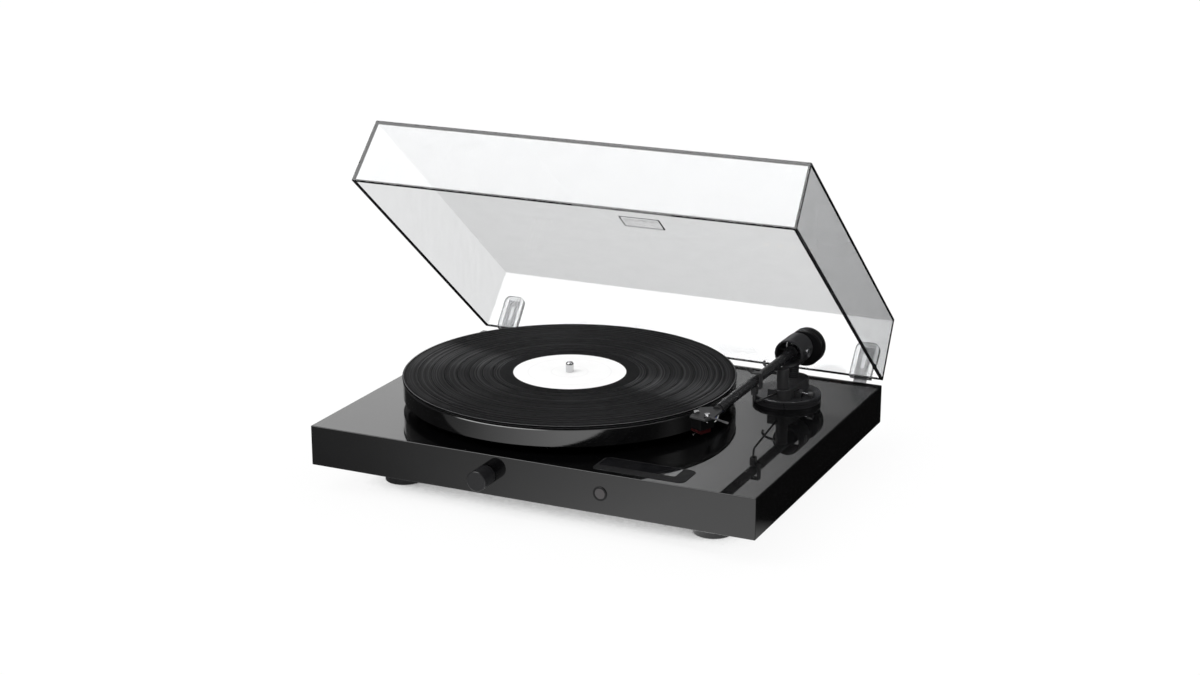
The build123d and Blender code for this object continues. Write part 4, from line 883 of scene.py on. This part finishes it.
def bead_mesh(name: str, start: Vector, end: Vector, radius: float,
              steps: int, sides: int) -> bpy.types.Mesh:
    """A straight round bead.

    Args:
        name: the mesh's name.
        start: one end.
        end: the other end.
        radius: its radius.
        steps: lengths it is divided into.
        sides: faces around it.

    Returns:
        The mesh.
    """
    line = [start.lerp(end, step / steps) for step in range(steps + 1)]
    return sweep_mesh(name, line, [radius] * len(line), sides)


def joined(name: str, meshes: Sequence[bpy.types.Mesh]) -> bpy.types.Mesh:
    """Joins meshes into one and shades it smooth.

    Args:
        name: the new mesh's name.
        meshes: the meshes to join.

    Returns:
        The joined mesh.
    """
    bm = bmesh.new()
    for mesh in meshes:
        bm.from_mesh(mesh)
        bpy.data.meshes.remove(mesh)
    made = bpy.data.meshes.new(name)
    bm.to_mesh(made)
    bm.free()
    made.shade_smooth()
    return made


def bezier(points: Sequence[Vector], steps: int) -> list[Vector]:
    """A smooth line from four guide points.

    Args:
        points: start, two guides and end.
        steps: number of pieces to divide it into.

    Returns:
        The points along the line.
    """
    a, b, c, d = points
    line = []
    for index in range(steps + 1):
        t = index / steps
        s = 1.0 - t
        line.append(a * s ** 3 + b * 3 * s * s * t + c * 3 * s * t * t + d * t ** 3)
    return line


class Assembly(ABC):
    """One sub-assembly of the player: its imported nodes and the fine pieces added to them."""

    def finishes(self) -> dict[str, Finish]:
        """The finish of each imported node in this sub-assembly.

        Returns:
            Finishes by node name.
        """
        return {}

    def build(self) -> list[bpy.types.Object]:
        """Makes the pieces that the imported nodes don't show.

        Returns:
            The new objects.
        """
        return []

    def dress(self, nodes: dict[str, bpy.types.Object]) -> None:
        """Lays each finish on its node.

        Args:
            nodes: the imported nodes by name.
        """
        for name, finish in self.finishes().items():
            for place in nodes[name].material_slots:
                place.material = finish.material()
            log.info("%s: %s", name, finish.name)
        for piece in self.build():
            log.info("%s: new piece with %d faces", piece.name, len(piece.data.polygons))


# ------------------------------------------------------------------ sub-assemblies
def middle(node: str) -> tuple[float, float, float]:
    """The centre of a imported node's box."""
    low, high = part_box(node)
    return tuple((low + high) / 2)


@dataclass
class Plinth(Assembly):
    """The lacquered plinth with its bottom cover, feet and fixings."""

    foot_roughness: float = 0.42

    def finishes(self) -> dict[str, Finish]:
        """The finish of each node.

        Returns:
            Finishes by node name.
        """
        screws = SatinMetal("blackened_screws", Metal.BLACK_STEEL.value, roughness=0.38)
        return {
            "plinth": Lacquer(),
            "base_plate": Moulding("cover_board", Moulded.SOFT_BLACK.value,
                                   roughness=0.7, grain=900.0, depth=0.0001),
            "cover_screws": screws,
            "foot_screws": screws,
            "deck_screws": screws,
            "rear_screws": screws,
            "feet": Moulding("foot_plastic", Moulded.BLACK.value, self.foot_roughness,
                             grain=1800.0, depth=0.00005),
            "foot_pads": Moulding("pad_rubber", Moulded.SOFT_BLACK.value,
                                  roughness=0.85, grain=1300.0, depth=0.00012, sheen=0.2),
        }


@dataclass
class PlatterDrive(Assembly):
    """Bearing, sub-platter, platter, mat, motor and belt."""

    rim_roughness: float = 0.07

    def finishes(self) -> dict[str, Finish]:
        """The finish of each node.

        Returns:
            Finishes by node name.
        """
        spindle, motor = middle("spindle"), middle("motor_pulley")
        return {
            "bearing_housing": TurnedMetal("bearing_brass", Metal.BRASS.value, spindle),
            "spindle": TurnedMetal("spindle_steel", Metal.STEEL.value, spindle, roughness=0.16),
            "sub_platter": Moulding("wheel_plastic", Moulded.CHARCOAL.value, roughness=0.5),
            "platter": PlatterCoat(spindle, roughness=self.rim_roughness),
            "platter_mat": Felt(),
            "drive_belt": Moulding("belt_rubber", Moulded.SOFT_BLACK.value,
                                   roughness=0.6, grain=1500.0, depth=0.00005),
            "motor": SatinMetal("zinc_case", (0.42, 0.43, 0.44), roughness=0.36, grain=700.0),
            "motor_shaft": TurnedMetal("motor_shaft_steel", Metal.STEEL.value, motor, roughness=0.2),
            "motor_pulley": TurnedMetal("pulley_aluminium", Metal.ALUMINIUM.value, motor),
            "motor_screws": SatinMetal("blackened_screws", Metal.BLACK_STEEL.value, roughness=0.38),
        }


@dataclass(frozen=True)
class PlatterCoat(Finish):
    """Turned aluminium under a glossy black coat."""

    centre: tuple[float, float, float]
    name: str = "platter_coat"
    colour: Colour = (0.0010, 0.0010, 0.0012)
    cloud: Colour = (0.0022, 0.0022, 0.0024)
    roughness: float = 0.10
    pitch: float = 0.0011
    polish_scale: float = 90.0

    def shade(self, wiring: Wiring) -> Socket:
        """Wires the coat.

        Args:
            wiring: the empty node tree.

        Returns:
            The shader socket.
        """
        where = wiring.place()
        turns = wiring.maths("MULTIPLY", wiring.along(where, "Z"), math.tau / self.pitch)
        turned = wiring.maths("SINE", turns)
        polish = wiring.grain(where, self.polish_scale, detail=3.0, roughness=0.55)
        return wiring.principled({
            "Base Color": wiring.blend(wiring.span(polish, *NOISE_CORE), self.colour, self.cloud),
            "Roughness": wiring.span(polish, *NOISE_CORE, self.roughness, self.roughness + 0.05),
            "IOR": 1.5,
            "Specular IOR Level": 0.8,
            "Coat Weight": 0.25,
            "Coat Roughness": 0.05,
            "Normal": wiring.relief(turned, 0.000004, strength=0.4),
        })


@dataclass
class RecordDisc(Assembly):
    """The record and its plain labels."""

    def finishes(self) -> dict[str, Finish]:
        """The finish of each node."""
        spindle = middle("spindle")
        return {"record": GrooveVinyl(spindle), "record_labels": LabelPaper(spindle)}


@dataclass
class FrontControls(Assembly):
    """Volume knob, sensor window and display."""

    def finishes(self) -> dict[str, Finish]:
        """The finish of each node.

        Returns:
            Finishes by node name.
        """
        knob, sensor = middle("volume_knob"), middle("sensor_ring")
        return {
            "volume_knob": TurnedMetal("knob_anodised", (0.012, 0.012, 0.013), knob, "Y",
                                       pitch=0.0007, roughness=0.30, metallic=0.1, depth=0.00002,
                                       specular=0.35),
            "encoder_body": Moulding("encoder_plastic", Moulded.CHARCOAL.value, roughness=0.5),
            "encoder_rotor": Moulding("encoder_plastic", Moulded.CHARCOAL.value, roughness=0.5),
            "encoder_shaft": TurnedMetal("encoder_steel", Metal.STEEL.value, knob, "Y"),
            "sensor_ring": TurnedMetal("ring_anodised", (0.006, 0.006, 0.0065), sensor, "Y",
                                       pitch=0.0006, roughness=0.36, metallic=0.0, specular=0.2),
            "sensor_lens": SmokedWindow("sensor_window", (0.010, 0.005, 0.006)),
            "display_bezel": Moulding("bezel_plastic", (0.010, 0.010, 0.0105),
                                      roughness=0.5, grain=3000.0, depth=0.00001, specular=0.12),
            "display_window": SmokedWindow(),
            "display_module": Moulding("module_plastic", Moulded.BLACK.value, roughness=0.6),
        }


@dataclass
class Electronics(Assembly):
    """The amplifier board inside the plinth and the sockets on its back."""

    flange_depth: float = 0.0012
    posts: int = 4

    def finishes(self) -> dict[str, Finish]:
        """The finish of each node.

        Returns:
            Finishes by node name.
        """
        return {
            "main_board": Laminate(),
            "board_components": SatinMetal("component_aluminium", Metal.ALUMINIUM.value, roughness=0.34),
            "rear_panel": SatinMetal("panel_paint", (0.03, 0.03, 0.031),
                                     roughness=0.5, metallic=0.0, grain=1500.0),
            "rca_jacks": TwoPart("phono_sockets", Metal.GOLD.value, Moulded.WHITE.value,
                                 self.jack_parting),
            "speaker_sockets": TwoPart("speaker_posts", Moulded.BLACK.value, Moulded.RED.value,
                                       self.post_parting, first_metal=0.0, second_metal=0.0,
                                       first_roughness=0.30, second_roughness=0.30),
            "power_inlet": Moulding("inlet_plastic", Moulded.BLACK.value, roughness=0.45),
        }

    def jack_parting(self, wiring: Wiring, where: Socket) -> Socket:
        """Parts the gold barrels from the moulded flanges behind them.

        Args:
            wiring: the node tree.
            where: the place of a point.

        Returns:
            1 on the flanges and 0 on the barrels.
        """
        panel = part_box("rear_panel")[1].y
        return wiring.maths("LESS_THAN", wiring.along(where, "Y"), panel + self.flange_depth)

    def post_parting(self, wiring: Wiring, where: Socket) -> Socket:
        """Tells every second speaker post, which is red.

        Args:
            wiring: the node tree.
            where: the place of a point.

        Returns:
            1 on the red posts and 0 on the black ones.
        """
        low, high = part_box("speaker_sockets")
        pitch = (high.x - low.x) / self.posts
        rate = math.pi / pitch
        turn = wiring.maths("MULTIPLY_ADD", wiring.along(where, "X"), rate, -low.x * rate)
        return wiring.maths("LESS_THAN", wiring.maths("SINE", turn), 0.0)


@dataclass
class ArmStand(Assembly):
    """Arm base, pillar, lift, cue lever and rest."""

    knob_length: float = 0.0051
    hub_length: float = 0.0049

    def finishes(self) -> dict[str, Finish]:
        """The finish of each node.

        Returns:
            Finishes by node name.
        """
        pivot = middle("arm_pillar")
        satin = Moulding("arm_plastic", Moulded.BLACK.value,
                         roughness=0.34, grain=3000.0, depth=0.00001)
        return {
            "arm_base": TurnedMetal("base_anodised", (0.022, 0.022, 0.024), pivot, "Z",
                                    pitch=0.0009, roughness=0.30, metallic=0.2, depth=0.00001),
            "lift_block": satin,
            "lift_platform": satin,
            "arm_pillar": TurnedMetal("pillar_anodised", (0.03, 0.03, 0.032), pivot, "Z",
                                      pitch=0.0006, roughness=0.32, metallic=0.4),
            "cue_lever": TwoPart("lever_parts", (0.16, 0.16, 0.165), (0.03, 0.03, 0.031),
                                 self.knob_parting),
            "arm_rest_rod": SatinMetal("rest_rod_steel", (0.16, 0.16, 0.165), roughness=0.3),
            "arm_rest_clip": Moulding("clip_plastic", Moulded.BLACK.value, roughness=0.36),
        }

    def knob_parting(self, wiring: Wiring, where: Socket) -> Socket:
        """Parts the lever's moulded knob and hub from its steel rod.

        Args:
            wiring: the node tree.
            where: the place of a point.

        Returns:
            1 on knob and hub and 0 on the rod.
        """
        low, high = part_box("cue_lever")
        x = wiring.along(where, "X")
        knob = wiring.maths("GREATER_THAN", x, high.x - self.knob_length)
        return wiring.maths("MAXIMUM", knob, wiring.maths("LESS_THAN", x, low.x + self.hub_length))


@dataclass
class Tonearm(Assembly):
    """Arm tube with its bearing, counterweight, headshell, cartridge and wires."""

    pivot: Vector = field(default_factory=lambda: joint_place("arm_swing"))
    tube_front: float = 0.1802
    mount_ahead: float = 0.204
    mount_left: float = 0.005
    offset: float = 23.5
    pin_back: float = 0.009
    pin_length: float = 0.0040
    pin_radius: float = 0.00055
    pin_pitch: float = 0.0028
    pin_seat: float = 0.0002
    pin_lift: float = 1.4
    wire_radius: float = 0.00032
    wire_points: int = 24
    wire_sides: int = 10
    wire_run_out: float = 0.9
    wire_approach: tuple[float, float, float] = (0.0, -0.006, -0.0012)
    wire_colours: tuple[Colour, ...] = (
        (0.55, 0.03, 0.02),
        (0.75, 0.75, 0.73),
        (0.03, 0.30, 0.08),
        (0.03, 0.10, 0.42),
    )
    clip_profile: tuple[float, ...] = (0.8, 0.8, 1.25, 1.25, 1.25, 1.15, 1.15, 0.9, 0.7)
    mouth_depth: float = 0.0024
    mouth_gap: float = 0.001
    mouth_rise: float = 0.0004

    def finishes(self) -> dict[str, Finish]:
        """The finish of each node.

        Returns:
            Finishes by node name.
        """
        return {
            "arm_yoke": SatinMetal("yoke_anodised", (0.022, 0.022, 0.024),
                                   roughness=0.33, metallic=0.25),
            "pivot_screws": SatinMetal("pivot_steel", (0.42, 0.42, 0.43), roughness=0.3),
            "arm_tube": SatinMetal("tube_anodised", (0.012, 0.012, 0.013),
                                   roughness=0.22, metallic=0.0, grain=1400.0, stretch=(1.0, 0.12, 1.0)),
            "counterweight": TurnedMetal("weight_coat", (0.006, 0.006, 0.0065), middle("counterweight"),
                                         "Y", pitch=0.0008, roughness=0.30, metallic=0.0, specular=0.2),
            "headshell": SatinMetal("shell_anodised", (0.022, 0.022, 0.023),
                                    roughness=0.42, metallic=0.0, specular=0.3),
            "finger_lift": SatinMetal("finger_steel", (0.10, 0.10, 0.103), roughness=0.34, metallic=0.6),
            "cartridge_body": Moulding("cartridge_plastic", (0.0012, 0.0012, 0.0014),
                                       roughness=0.4, specular=0.05),
            "stylus_holder": Moulding("stylus_red", (0.016, 0.001, 0.0015),
                                      roughness=0.3, grain=3000.0, depth=0.00001, specular=0.08),
            "cantilever": SatinMetal("cantilever_metal", Metal.ALUMINIUM.value, roughness=0.2),
            "cartridge_screws": SatinMetal("bright_plate", (0.6, 0.6, 0.61), roughness=0.2),
        }

    def on_cartridge(self, ahead: float, right: float, rise: float) -> Vector:
        """A place given along the cartridge.

        Args:
            ahead: metres ahead of its mounting centre.
            right: metres to its right.
            rise: metres above the arm's pivot.

        Returns:
            The place in the player's frame.
        """
        turn = math.radians(self.offset)
        forward = Vector((-math.sin(turn), -math.cos(turn), 0.0))
        across = Vector((-math.cos(turn), math.sin(turn), 0.0))
        centre = self.pivot + Vector((-self.mount_left, -self.mount_ahead, rise))
        return centre + forward * ahead - across * right

    def clip(self, index: int, base: Vector, tip: Vector) -> bpy.types.Mesh:
        """One crimped clip on a cartridge pin.

        Args:
            index: the clip's number.
            base: the pin's root.
            tip: the clip's far end.

        Returns:
            Its mesh.
        """
        step = (tip - base) / (len(self.clip_profile) - 1)
        line = [base + step * i for i in range(len(self.clip_profile))]
        sizes = [self.pin_radius * share for share in self.clip_profile]
        return sweep_mesh(f"clip_{index}", line, sizes)

    def wire_line(self, base: Vector, tip: Vector, side: int, row: int) -> list[Vector]:
        """The way of one wire, from its clip into the arm tube's mouth.

        Args:
            base: the pin's root.
            tip: the clip's far end.
            side: -1 for the left pins and 1 for the right ones.
            row: -1 for the lower pins and 1 for the upper ones.

        Returns:
            Points along the wire.
        """
        mouth = self.pivot + Vector((side * self.mouth_gap, -self.tube_front + self.mouth_depth,
                                     -self.mouth_depth + row * self.mouth_rise))
        guide = tip + (tip - base) * self.wire_run_out
        return bezier((tip, guide, mouth + Vector(self.wire_approach), mouth), self.wire_points)

    def build(self) -> list[bpy.types.Object]:
        """Makes the four coloured wires with their clips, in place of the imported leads.

        Returns:
            The new objects.
        """
        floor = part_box("cartridge_leads")[0].z - self.pivot.z + self.pin_radius * self.pin_lift
        made = []
        clips = []
        slots = ((-1, -1), (1, -1), (-1, 1), (1, 1))
        for index, (side, row) in enumerate(slots):
            rise = floor + (row + 1) / 2 * self.pin_pitch
            right = side * self.pin_pitch / 2
            base = self.on_cartridge(self.pin_seat - self.pin_back, right, rise)
            tip = self.on_cartridge(-self.pin_back - self.pin_length, right, rise)
            clips.append(self.clip(index, base, tip))
            name = f"cartridge_wire_{index + 1}"
            line = self.wire_line(base, tip, side, row)
            mesh = sweep_mesh(name, line, [self.wire_radius] * len(line), self.wire_sides)
            finish = Moulding(f"wire_{index + 1}", self.wire_colours[index],
                              roughness=0.4, grain=1500.0, depth=0.00001)
            made.append(new_piece(name, mesh, finish, "tonearm"))
        mesh = joined("cartridge_clips", clips)
        finish = SatinMetal("clip_plate", Metal.CHROME.value, roughness=0.22)
        made.append(new_piece("cartridge_clips", mesh, finish, "tonearm"))
        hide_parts("cartridge_leads")
        return made


def joint_place(name: str) -> Vector:
    """Where a hinge's axis passes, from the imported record.

    Args:
        name: the joint's name.

    Returns:
        A point on the axis, in metres.
    """
    found = next(joint for joint in RECORD["joints"] if joint["name"] == name)
    return Vector(found["pos_m"])


@dataclass
class DustCover(Assembly):
    """The clear cover with painted dark shade lines along its polished edges, its badge plate and hinge
    sleeves.
    """

    width: float = 0.4137
    depth: float = 0.3156
    height: float = 0.061
    rear: float = -0.0062
    rim: float = 0.0085
    side_draft: float = 0.0029
    front_draft: float = 0.00205
    rear_draft: float = 0.0017
    edge_radius: float = 0.0007
    faint_radius: float = 0.00025
    edge_inset: float = 0.0009
    bead_steps: int = 6
    bead_sides: int = 10
    badge_bead_steps: int = 4
    badge_bead_sides: int = 8
    badge_width: float = 0.039
    badge_depth: float = 0.019
    badge_thickness: float = 0.0015
    # widths of the painted shade lines round the badge, the right-hand one heaviest
    badge_shade_radii: tuple[float, ...] = (0.00028, 0.0006, 0.00024, 0.0004)

    def finishes(self) -> dict[str, Finish]:
        """The finish of each node.

        Returns:
            Finishes by node name.
        """
        return {
            "lid": ClearAcrylic("cover_acrylic"),
            "lid_badge": ClearAcrylic("badge_acrylic", (0.975, 0.975, 0.978), haze=0.0, index=1.0005),
            # painted shade: the sleeves darken to dark outlines where their surface turns edge-on
            "hinge_sleeves": ClearAcrylic("sleeve_acrylic", (0.74, 0.745, 0.75), rim_shade=1.0),
            "hinge_tongues": SatinMetal("hinge_steel", (0.16, 0.16, 0.165), roughness=0.3),
            "hinge_pins": SatinMetal("pin_steel", Metal.STEEL.value, roughness=0.25),
            "hinge_brackets": SatinMetal("bracket_paint", (0.02, 0.02, 0.021),
                                         roughness=0.42, metallic=0.0, grain=1800.0),
        }

    def slope(self) -> tuple[Vector, Vector]:
        """The directions that run to the open cover's rear and out of its roof.

        Returns:
            The two directions.
        """
        tilt = math.radians(-LIMITS["lid_hinge"][0])
        along = Vector((0.0, math.cos(tilt), -math.sin(tilt)))
        return along, Vector((0.0, math.sin(tilt), math.cos(tilt)))

    def corner(self, side: float, back: bool, share: float, inset: float = 0.0) -> Vector:
        """A corner of the cover as it stands open.

        Args:
            side: -1 for the left and 1 for the right.
            back: whether it is at the hinges' end.
            share: 0 at the rim and 1 at the roof.
            inset: metres to move it inwards.

        Returns:
            The place in the player's frame.
        """
        along, up = self.slope()
        half = self.width / 2 - self.side_draft * share - inset
        reach = self.rear - self.rear_draft * share - inset
        if not back:
            reach = self.rear - self.depth + self.front_draft * share + inset
        rise = self.rim + self.height * share + (inset if share < 0.5 else -inset)
        return joint_place("lid_hinge") + Vector((side * half, 0.0, 0.0)) + along * reach + up * rise

    def build(self) -> list[bpy.types.Object]:
        """Makes thin dark beads along the cover's edges: painted shade that stands in for the dark lines
        refraction gives polished acrylic, thinner on the roof's rear and left edges and the rear left
        upright.

        Returns:
            The new objects.
        """
        ring = [(-1, False), (1, False), (1, True), (-1, True)]
        runs = []
        for share in (0.0, 1.0):
            for (side, back), (side_2, back_2) in zip(ring, ring[1:] + ring[:1]):
                # the painted shade lines are thinner on the roof's rear and left edges
                faintly_shaded = share > 0.5 and ((back and back_2) or (side < 0 and side_2 < 0))
                runs.append((self.corner(side, back, share, self.edge_inset),
                             self.corner(side_2, back_2, share, self.edge_inset),
                             self.faint_radius if faintly_shaded else self.edge_radius))
        for side, back in ring:
            runs.append((self.corner(side, back, 0.0, self.edge_inset),
                         self.corner(side, back, 1.0, self.edge_inset),
                         self.faint_radius if back and side < 0 else self.edge_radius))
        beads = [bead_mesh(f"edge_{index}", start, end, radius, self.bead_steps, self.bead_sides)
                 for index, (start, end, radius) in enumerate(runs)]
        # painted shade: a dark finish for the beads laid along the acrylic's edges
        finish = Moulding("painted_edge_shade", (0.012, 0.012, 0.013),
                          roughness=0.2, grain=900.0, depth=0.00001)
        made = []
        for name, meshes in (("cover_shade_beads", beads), ("badge_shade_beads", self.badge_beads())):
            made.append(new_piece(name, joined(name, meshes), finish, "lid"))
        return made

    def badge_beads(self) -> list[bpy.types.Mesh]:
        """Makes the painted dark shade lines that edge the badge plate, the right-hand one heavier.

        Returns:
            One mesh for each side.
        """
        low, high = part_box("lid_badge")
        along, up = self.slope()
        centre = (low + high) / 2 + up * self.badge_thickness / 2
        across = Vector((self.badge_width / 2, 0.0, 0.0))
        half = along * self.badge_depth / 2
        corners = [centre + across * side + half * end for side, end in CORNERS]
        sides = zip(corners, corners[1:] + corners[:1], self.badge_shade_radii)
        steps, around = self.badge_bead_steps, self.badge_bead_sides
        return [bead_mesh(f"badge_edge_{index}", start, end, radius, steps, around)
                for index, (start, end, radius) in enumerate(sides)]


# ------------------------------------------------------------------ studio
@dataclass(frozen=True)
class Glow:
    """A soft patch of light in the studio's surroundings, seen in gloss."""

    azimuth: float
    elevation: float
    core: float
    reach: float
    strength: float


@dataclass
class Studio:
    """Floor, surroundings, lamp and camera."""

    floor_size: float = 9.0
    floor_colour: Colour = (0.98, 0.98, 0.98)
    shadow_share: float = 0.07
    contact_reach: float = 0.5
    contact_open: float = 0.10
    key_azimuth: float = -41.0
    key_elevation: float = 52.0
    key_spread: float = 50.0
    key_level: float = 0.75
    surround: float = 0.86
    upper: float = 0.10
    glows: tuple[Glow, ...] = (
        Glow(azimuth=213.0, elevation=20.0, core=3.0, reach=16.0, strength=1.2),
        Glow(azimuth=-45.0, elevation=53.0, core=14.0, reach=26.0, strength=3.2),
        Glow(azimuth=100.0, elevation=38.0, core=8.0, reach=22.0, strength=1.4),
        Glow(azimuth=0.0, elevation=88.0, core=12.0, reach=40.0, strength=0.9),
    )
    front_steps: tuple[tuple[float, float], ...] = (
        (-95.0, 0.01), (-60.0, 0.12), (-38.0, 0.34), (-23.0, 0.66), (-9.0, 0.95),
        (18.0, 1.5), (42.0, 1.6), (60.0, 0.5), (74.0, 0.01),
    )
    occlusion_samples: int = 16
    lamp_distance: float = 2.0
    lamp_aim: float = 0.1
    sensor: float = 36.0
    clip: tuple[float, float] = (0.05, 50.0)
    lens: float = 65.94
    camera_azimuth: float = 25.13
    camera_elevation: float = 16.96
    camera_distance: float = 1.9506
    target: Vector = field(default_factory=lambda: Vector((-0.00408, -0.011652, 0.12248)))

    def ray_shares(self, wiring: Wiring) -> tuple[Socket, Socket]:
        """Tells rays that look straight at something, or through clear acrylic, from mirrored ones.

        Args:
            wiring: the node tree.

        Returns:
            1 for a ray that looks straight, and 1 for a mirrored ray.
        """
        path = wiring.node("ShaderNodeLightPath")
        looking = wiring.maths("MAXIMUM", path.outputs["Is Camera Ray"],
                               path.outputs["Is Transmission Ray"])
        unmirrored = wiring.maths("LESS_THAN", path.outputs["Glossy Depth"], 0.5)
        seen = wiring.maths("MULTIPLY", looking, unmirrored)
        lighting = wiring.maths("MAXIMUM", seen, path.outputs["Is Diffuse Ray"])
        return seen, wiring.maths("SUBTRACT", 1.0, lighting)

    def lobe(self, wiring: Wiring, heading: Socket, glow: Glow) -> Socket:
        """One soft patch of light.

        Args:
            wiring: the world's node tree.
            heading: the direction looked in.
            glow: the patch.

        Returns:
            Its brightness in that direction.
        """
        facing = wiring.vector("DOT_PRODUCT", heading, tuple(direction(glow.azimuth, glow.elevation)))
        outer, inner = math.cos(math.radians(glow.reach)), math.cos(math.radians(glow.core))
        return wiring.span(facing.outputs["Value"], outer, inner, 0.0, glow.strength, True)

    def light_surroundings(self) -> None:
        """Lights the world: white behind the player, plain for matt surfaces, soft patches for gloss."""
        world = bpy.data.worlds.new("studio")
        bpy.context.scene.world = world
        world.use_nodes = True
        wiring = Wiring(world.node_tree)
        heading = wiring.node("ShaderNodeTexCoord").outputs["Generated"]
        total: Setting = self.upper
        for glow in self.glows:
            total = wiring.maths("ADD", total, self.lobe(wiring, heading, glow))
        seen, gloss = self.ray_shares(wiring)
        plain = wiring.blend(gloss, (self.surround,) * 3, total)
        colour = wiring.blend(seen, plain, WHITE)
        background = wiring.node("ShaderNodeBackground", {"Color": colour, "Strength": 1.0})
        wiring.node("ShaderNodeOutputWorld", {"Surface": background.outputs[0]})

    def floor_gloss(self, wiring: Wiring) -> Socket:
        """How bright the floor looks in gloss, graded by its direction from the player.

        Args:
            wiring: the floor's node tree.

        Returns:
            The brightness.
        """
        where = wiring.place()
        heading = wiring.maths("ARCTAN2", wiring.along(where, "X"),
                               wiring.maths("MULTIPLY", wiring.along(where, "Y"), -1.0))
        bright: Setting = self.front_steps[0][1]
        for (start, low), (end, high) in zip(self.front_steps, self.front_steps[1:]):
            rise = wiring.span(heading, math.radians(start), math.radians(end), 0.0, high - low)
            bright = wiring.maths("ADD", bright, rise)
        return bright

    def floor_material(self) -> bpy.types.Material:
        """A pale floor: white with a painted soft contact shade where it is seen, graded where it is
        mirrored.

        Returns:
            The material.
        """
        made = bpy.data.materials.new("pale_floor")
        made.use_nodes = True
        wiring = Wiring(made.node_tree)
        matt = wiring.node("ShaderNodeBsdfDiffuse", {"Color": self.floor_colour})
        # painted shadow: an occlusion reading sets how bright the white glow is near the player
        closeness = wiring.node("ShaderNodeAmbientOcclusion", {"Distance": self.contact_reach},
                                samples=self.occlusion_samples)
        painted_contact_shade = wiring.span(closeness.outputs["AO"], 0.0, self.contact_open)
        white = wiring.node("ShaderNodeEmission", {"Color": WHITE, "Strength": painted_contact_shade})
        graded = wiring.node("ShaderNodeEmission",
                             {"Color": WHITE, "Strength": self.floor_gloss(wiring)})
        seen, gloss = self.ray_shares(wiring)
        clean = wiring.maths("MULTIPLY", seen, 1.0 - self.shadow_share)
        pale = wiring.mix(clean, matt.outputs[0], white.outputs[0])
        wiring.surface(wiring.mix(gloss, pale, graded.outputs[0]))
        return made

    def lay_floor(self) -> None:
        """Lays the floor under the player's feet."""
        half = self.floor_size / 2
        bm = bmesh.new()
        bm.faces.new([bm.verts.new((x * half, y * half, 0.0)) for x, y in CORNERS])
        mesh = bpy.data.meshes.new("floor")
        bm.to_mesh(mesh)
        bm.free()
        mesh.materials.append(self.floor_material())
        floor = bpy.data.objects.new("floor", mesh)
        bpy.context.scene.collection.objects.link(floor)

    def hang_lamp(self) -> None:
        """Hangs one broad soft lamp at the front left, above the player."""
        data = bpy.data.lights.new("key_lamp", "SUN")
        data.angle = math.radians(self.key_spread)
        data.energy = self.key_level
        lamp = bpy.data.objects.new("key_lamp", data)
        bpy.context.scene.collection.objects.link(lamp)
        away = direction(self.key_azimuth, self.key_elevation)
        lamp.location = Vector((0.0, 0.0, self.lamp_aim)) + away * self.lamp_distance
        lamp.rotation_euler = (-away).to_track_quat("-Z", "Y").to_euler()

    def set_camera(self) -> None:
        """Places the camera and makes it the scene's."""
        data = bpy.data.cameras.new("camera")
        data.sensor_width = self.sensor
        data.lens = self.lens
        data.clip_start, data.clip_end = self.clip
        camera = bpy.data.objects.new("camera", data)
        bpy.context.scene.collection.objects.link(camera)
        back = direction(self.camera_azimuth, self.camera_elevation)
        camera.location = self.target + back * self.camera_distance
        camera.rotation_euler = (-back).to_track_quat("-Z", "Y").to_euler()
        bpy.context.scene.camera = camera

    def set_up(self) -> None:
        """Puts the whole studio in place."""
        self.light_surroundings()
        self.lay_floor()
        self.hang_lamp()
        self.set_camera()
        bpy.context.scene.view_settings.view_transform = "Standard"


def main() -> None:
    """Loads the frame, dresses every sub-assembly and sets up the studio."""
    logging.basicConfig(level=logging.INFO, format="%(message)s")
    for leftover in list(bpy.data.objects):
        bpy.data.objects.remove(leftover)
    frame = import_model()
    RECORD.update(joints=frame["joints"])
    LIMITS.update({joint["name"]: joint["range_deg"] for joint in frame["joints"]
                   if "range_deg" in joint})
    dressed: list[Assembly] = [Plinth(), PlatterDrive(), RecordDisc(), FrontControls(), Electronics(),
                               ArmStand(), Tonearm(), DustCover()]
    for assembly in dressed:
        log.info("-- %s", type(assembly).__name__)
        assembly.dress(frame["nodes"])
    Studio().set_up()
    bare = [name for name, node in frame["nodes"].items()
            if not node.hide_render and not node.data.materials[0].name.startswith("finish_")]
    log.info("nodes without a finish: %s", bare or "none")


if __name__ == "__main__":
    main()
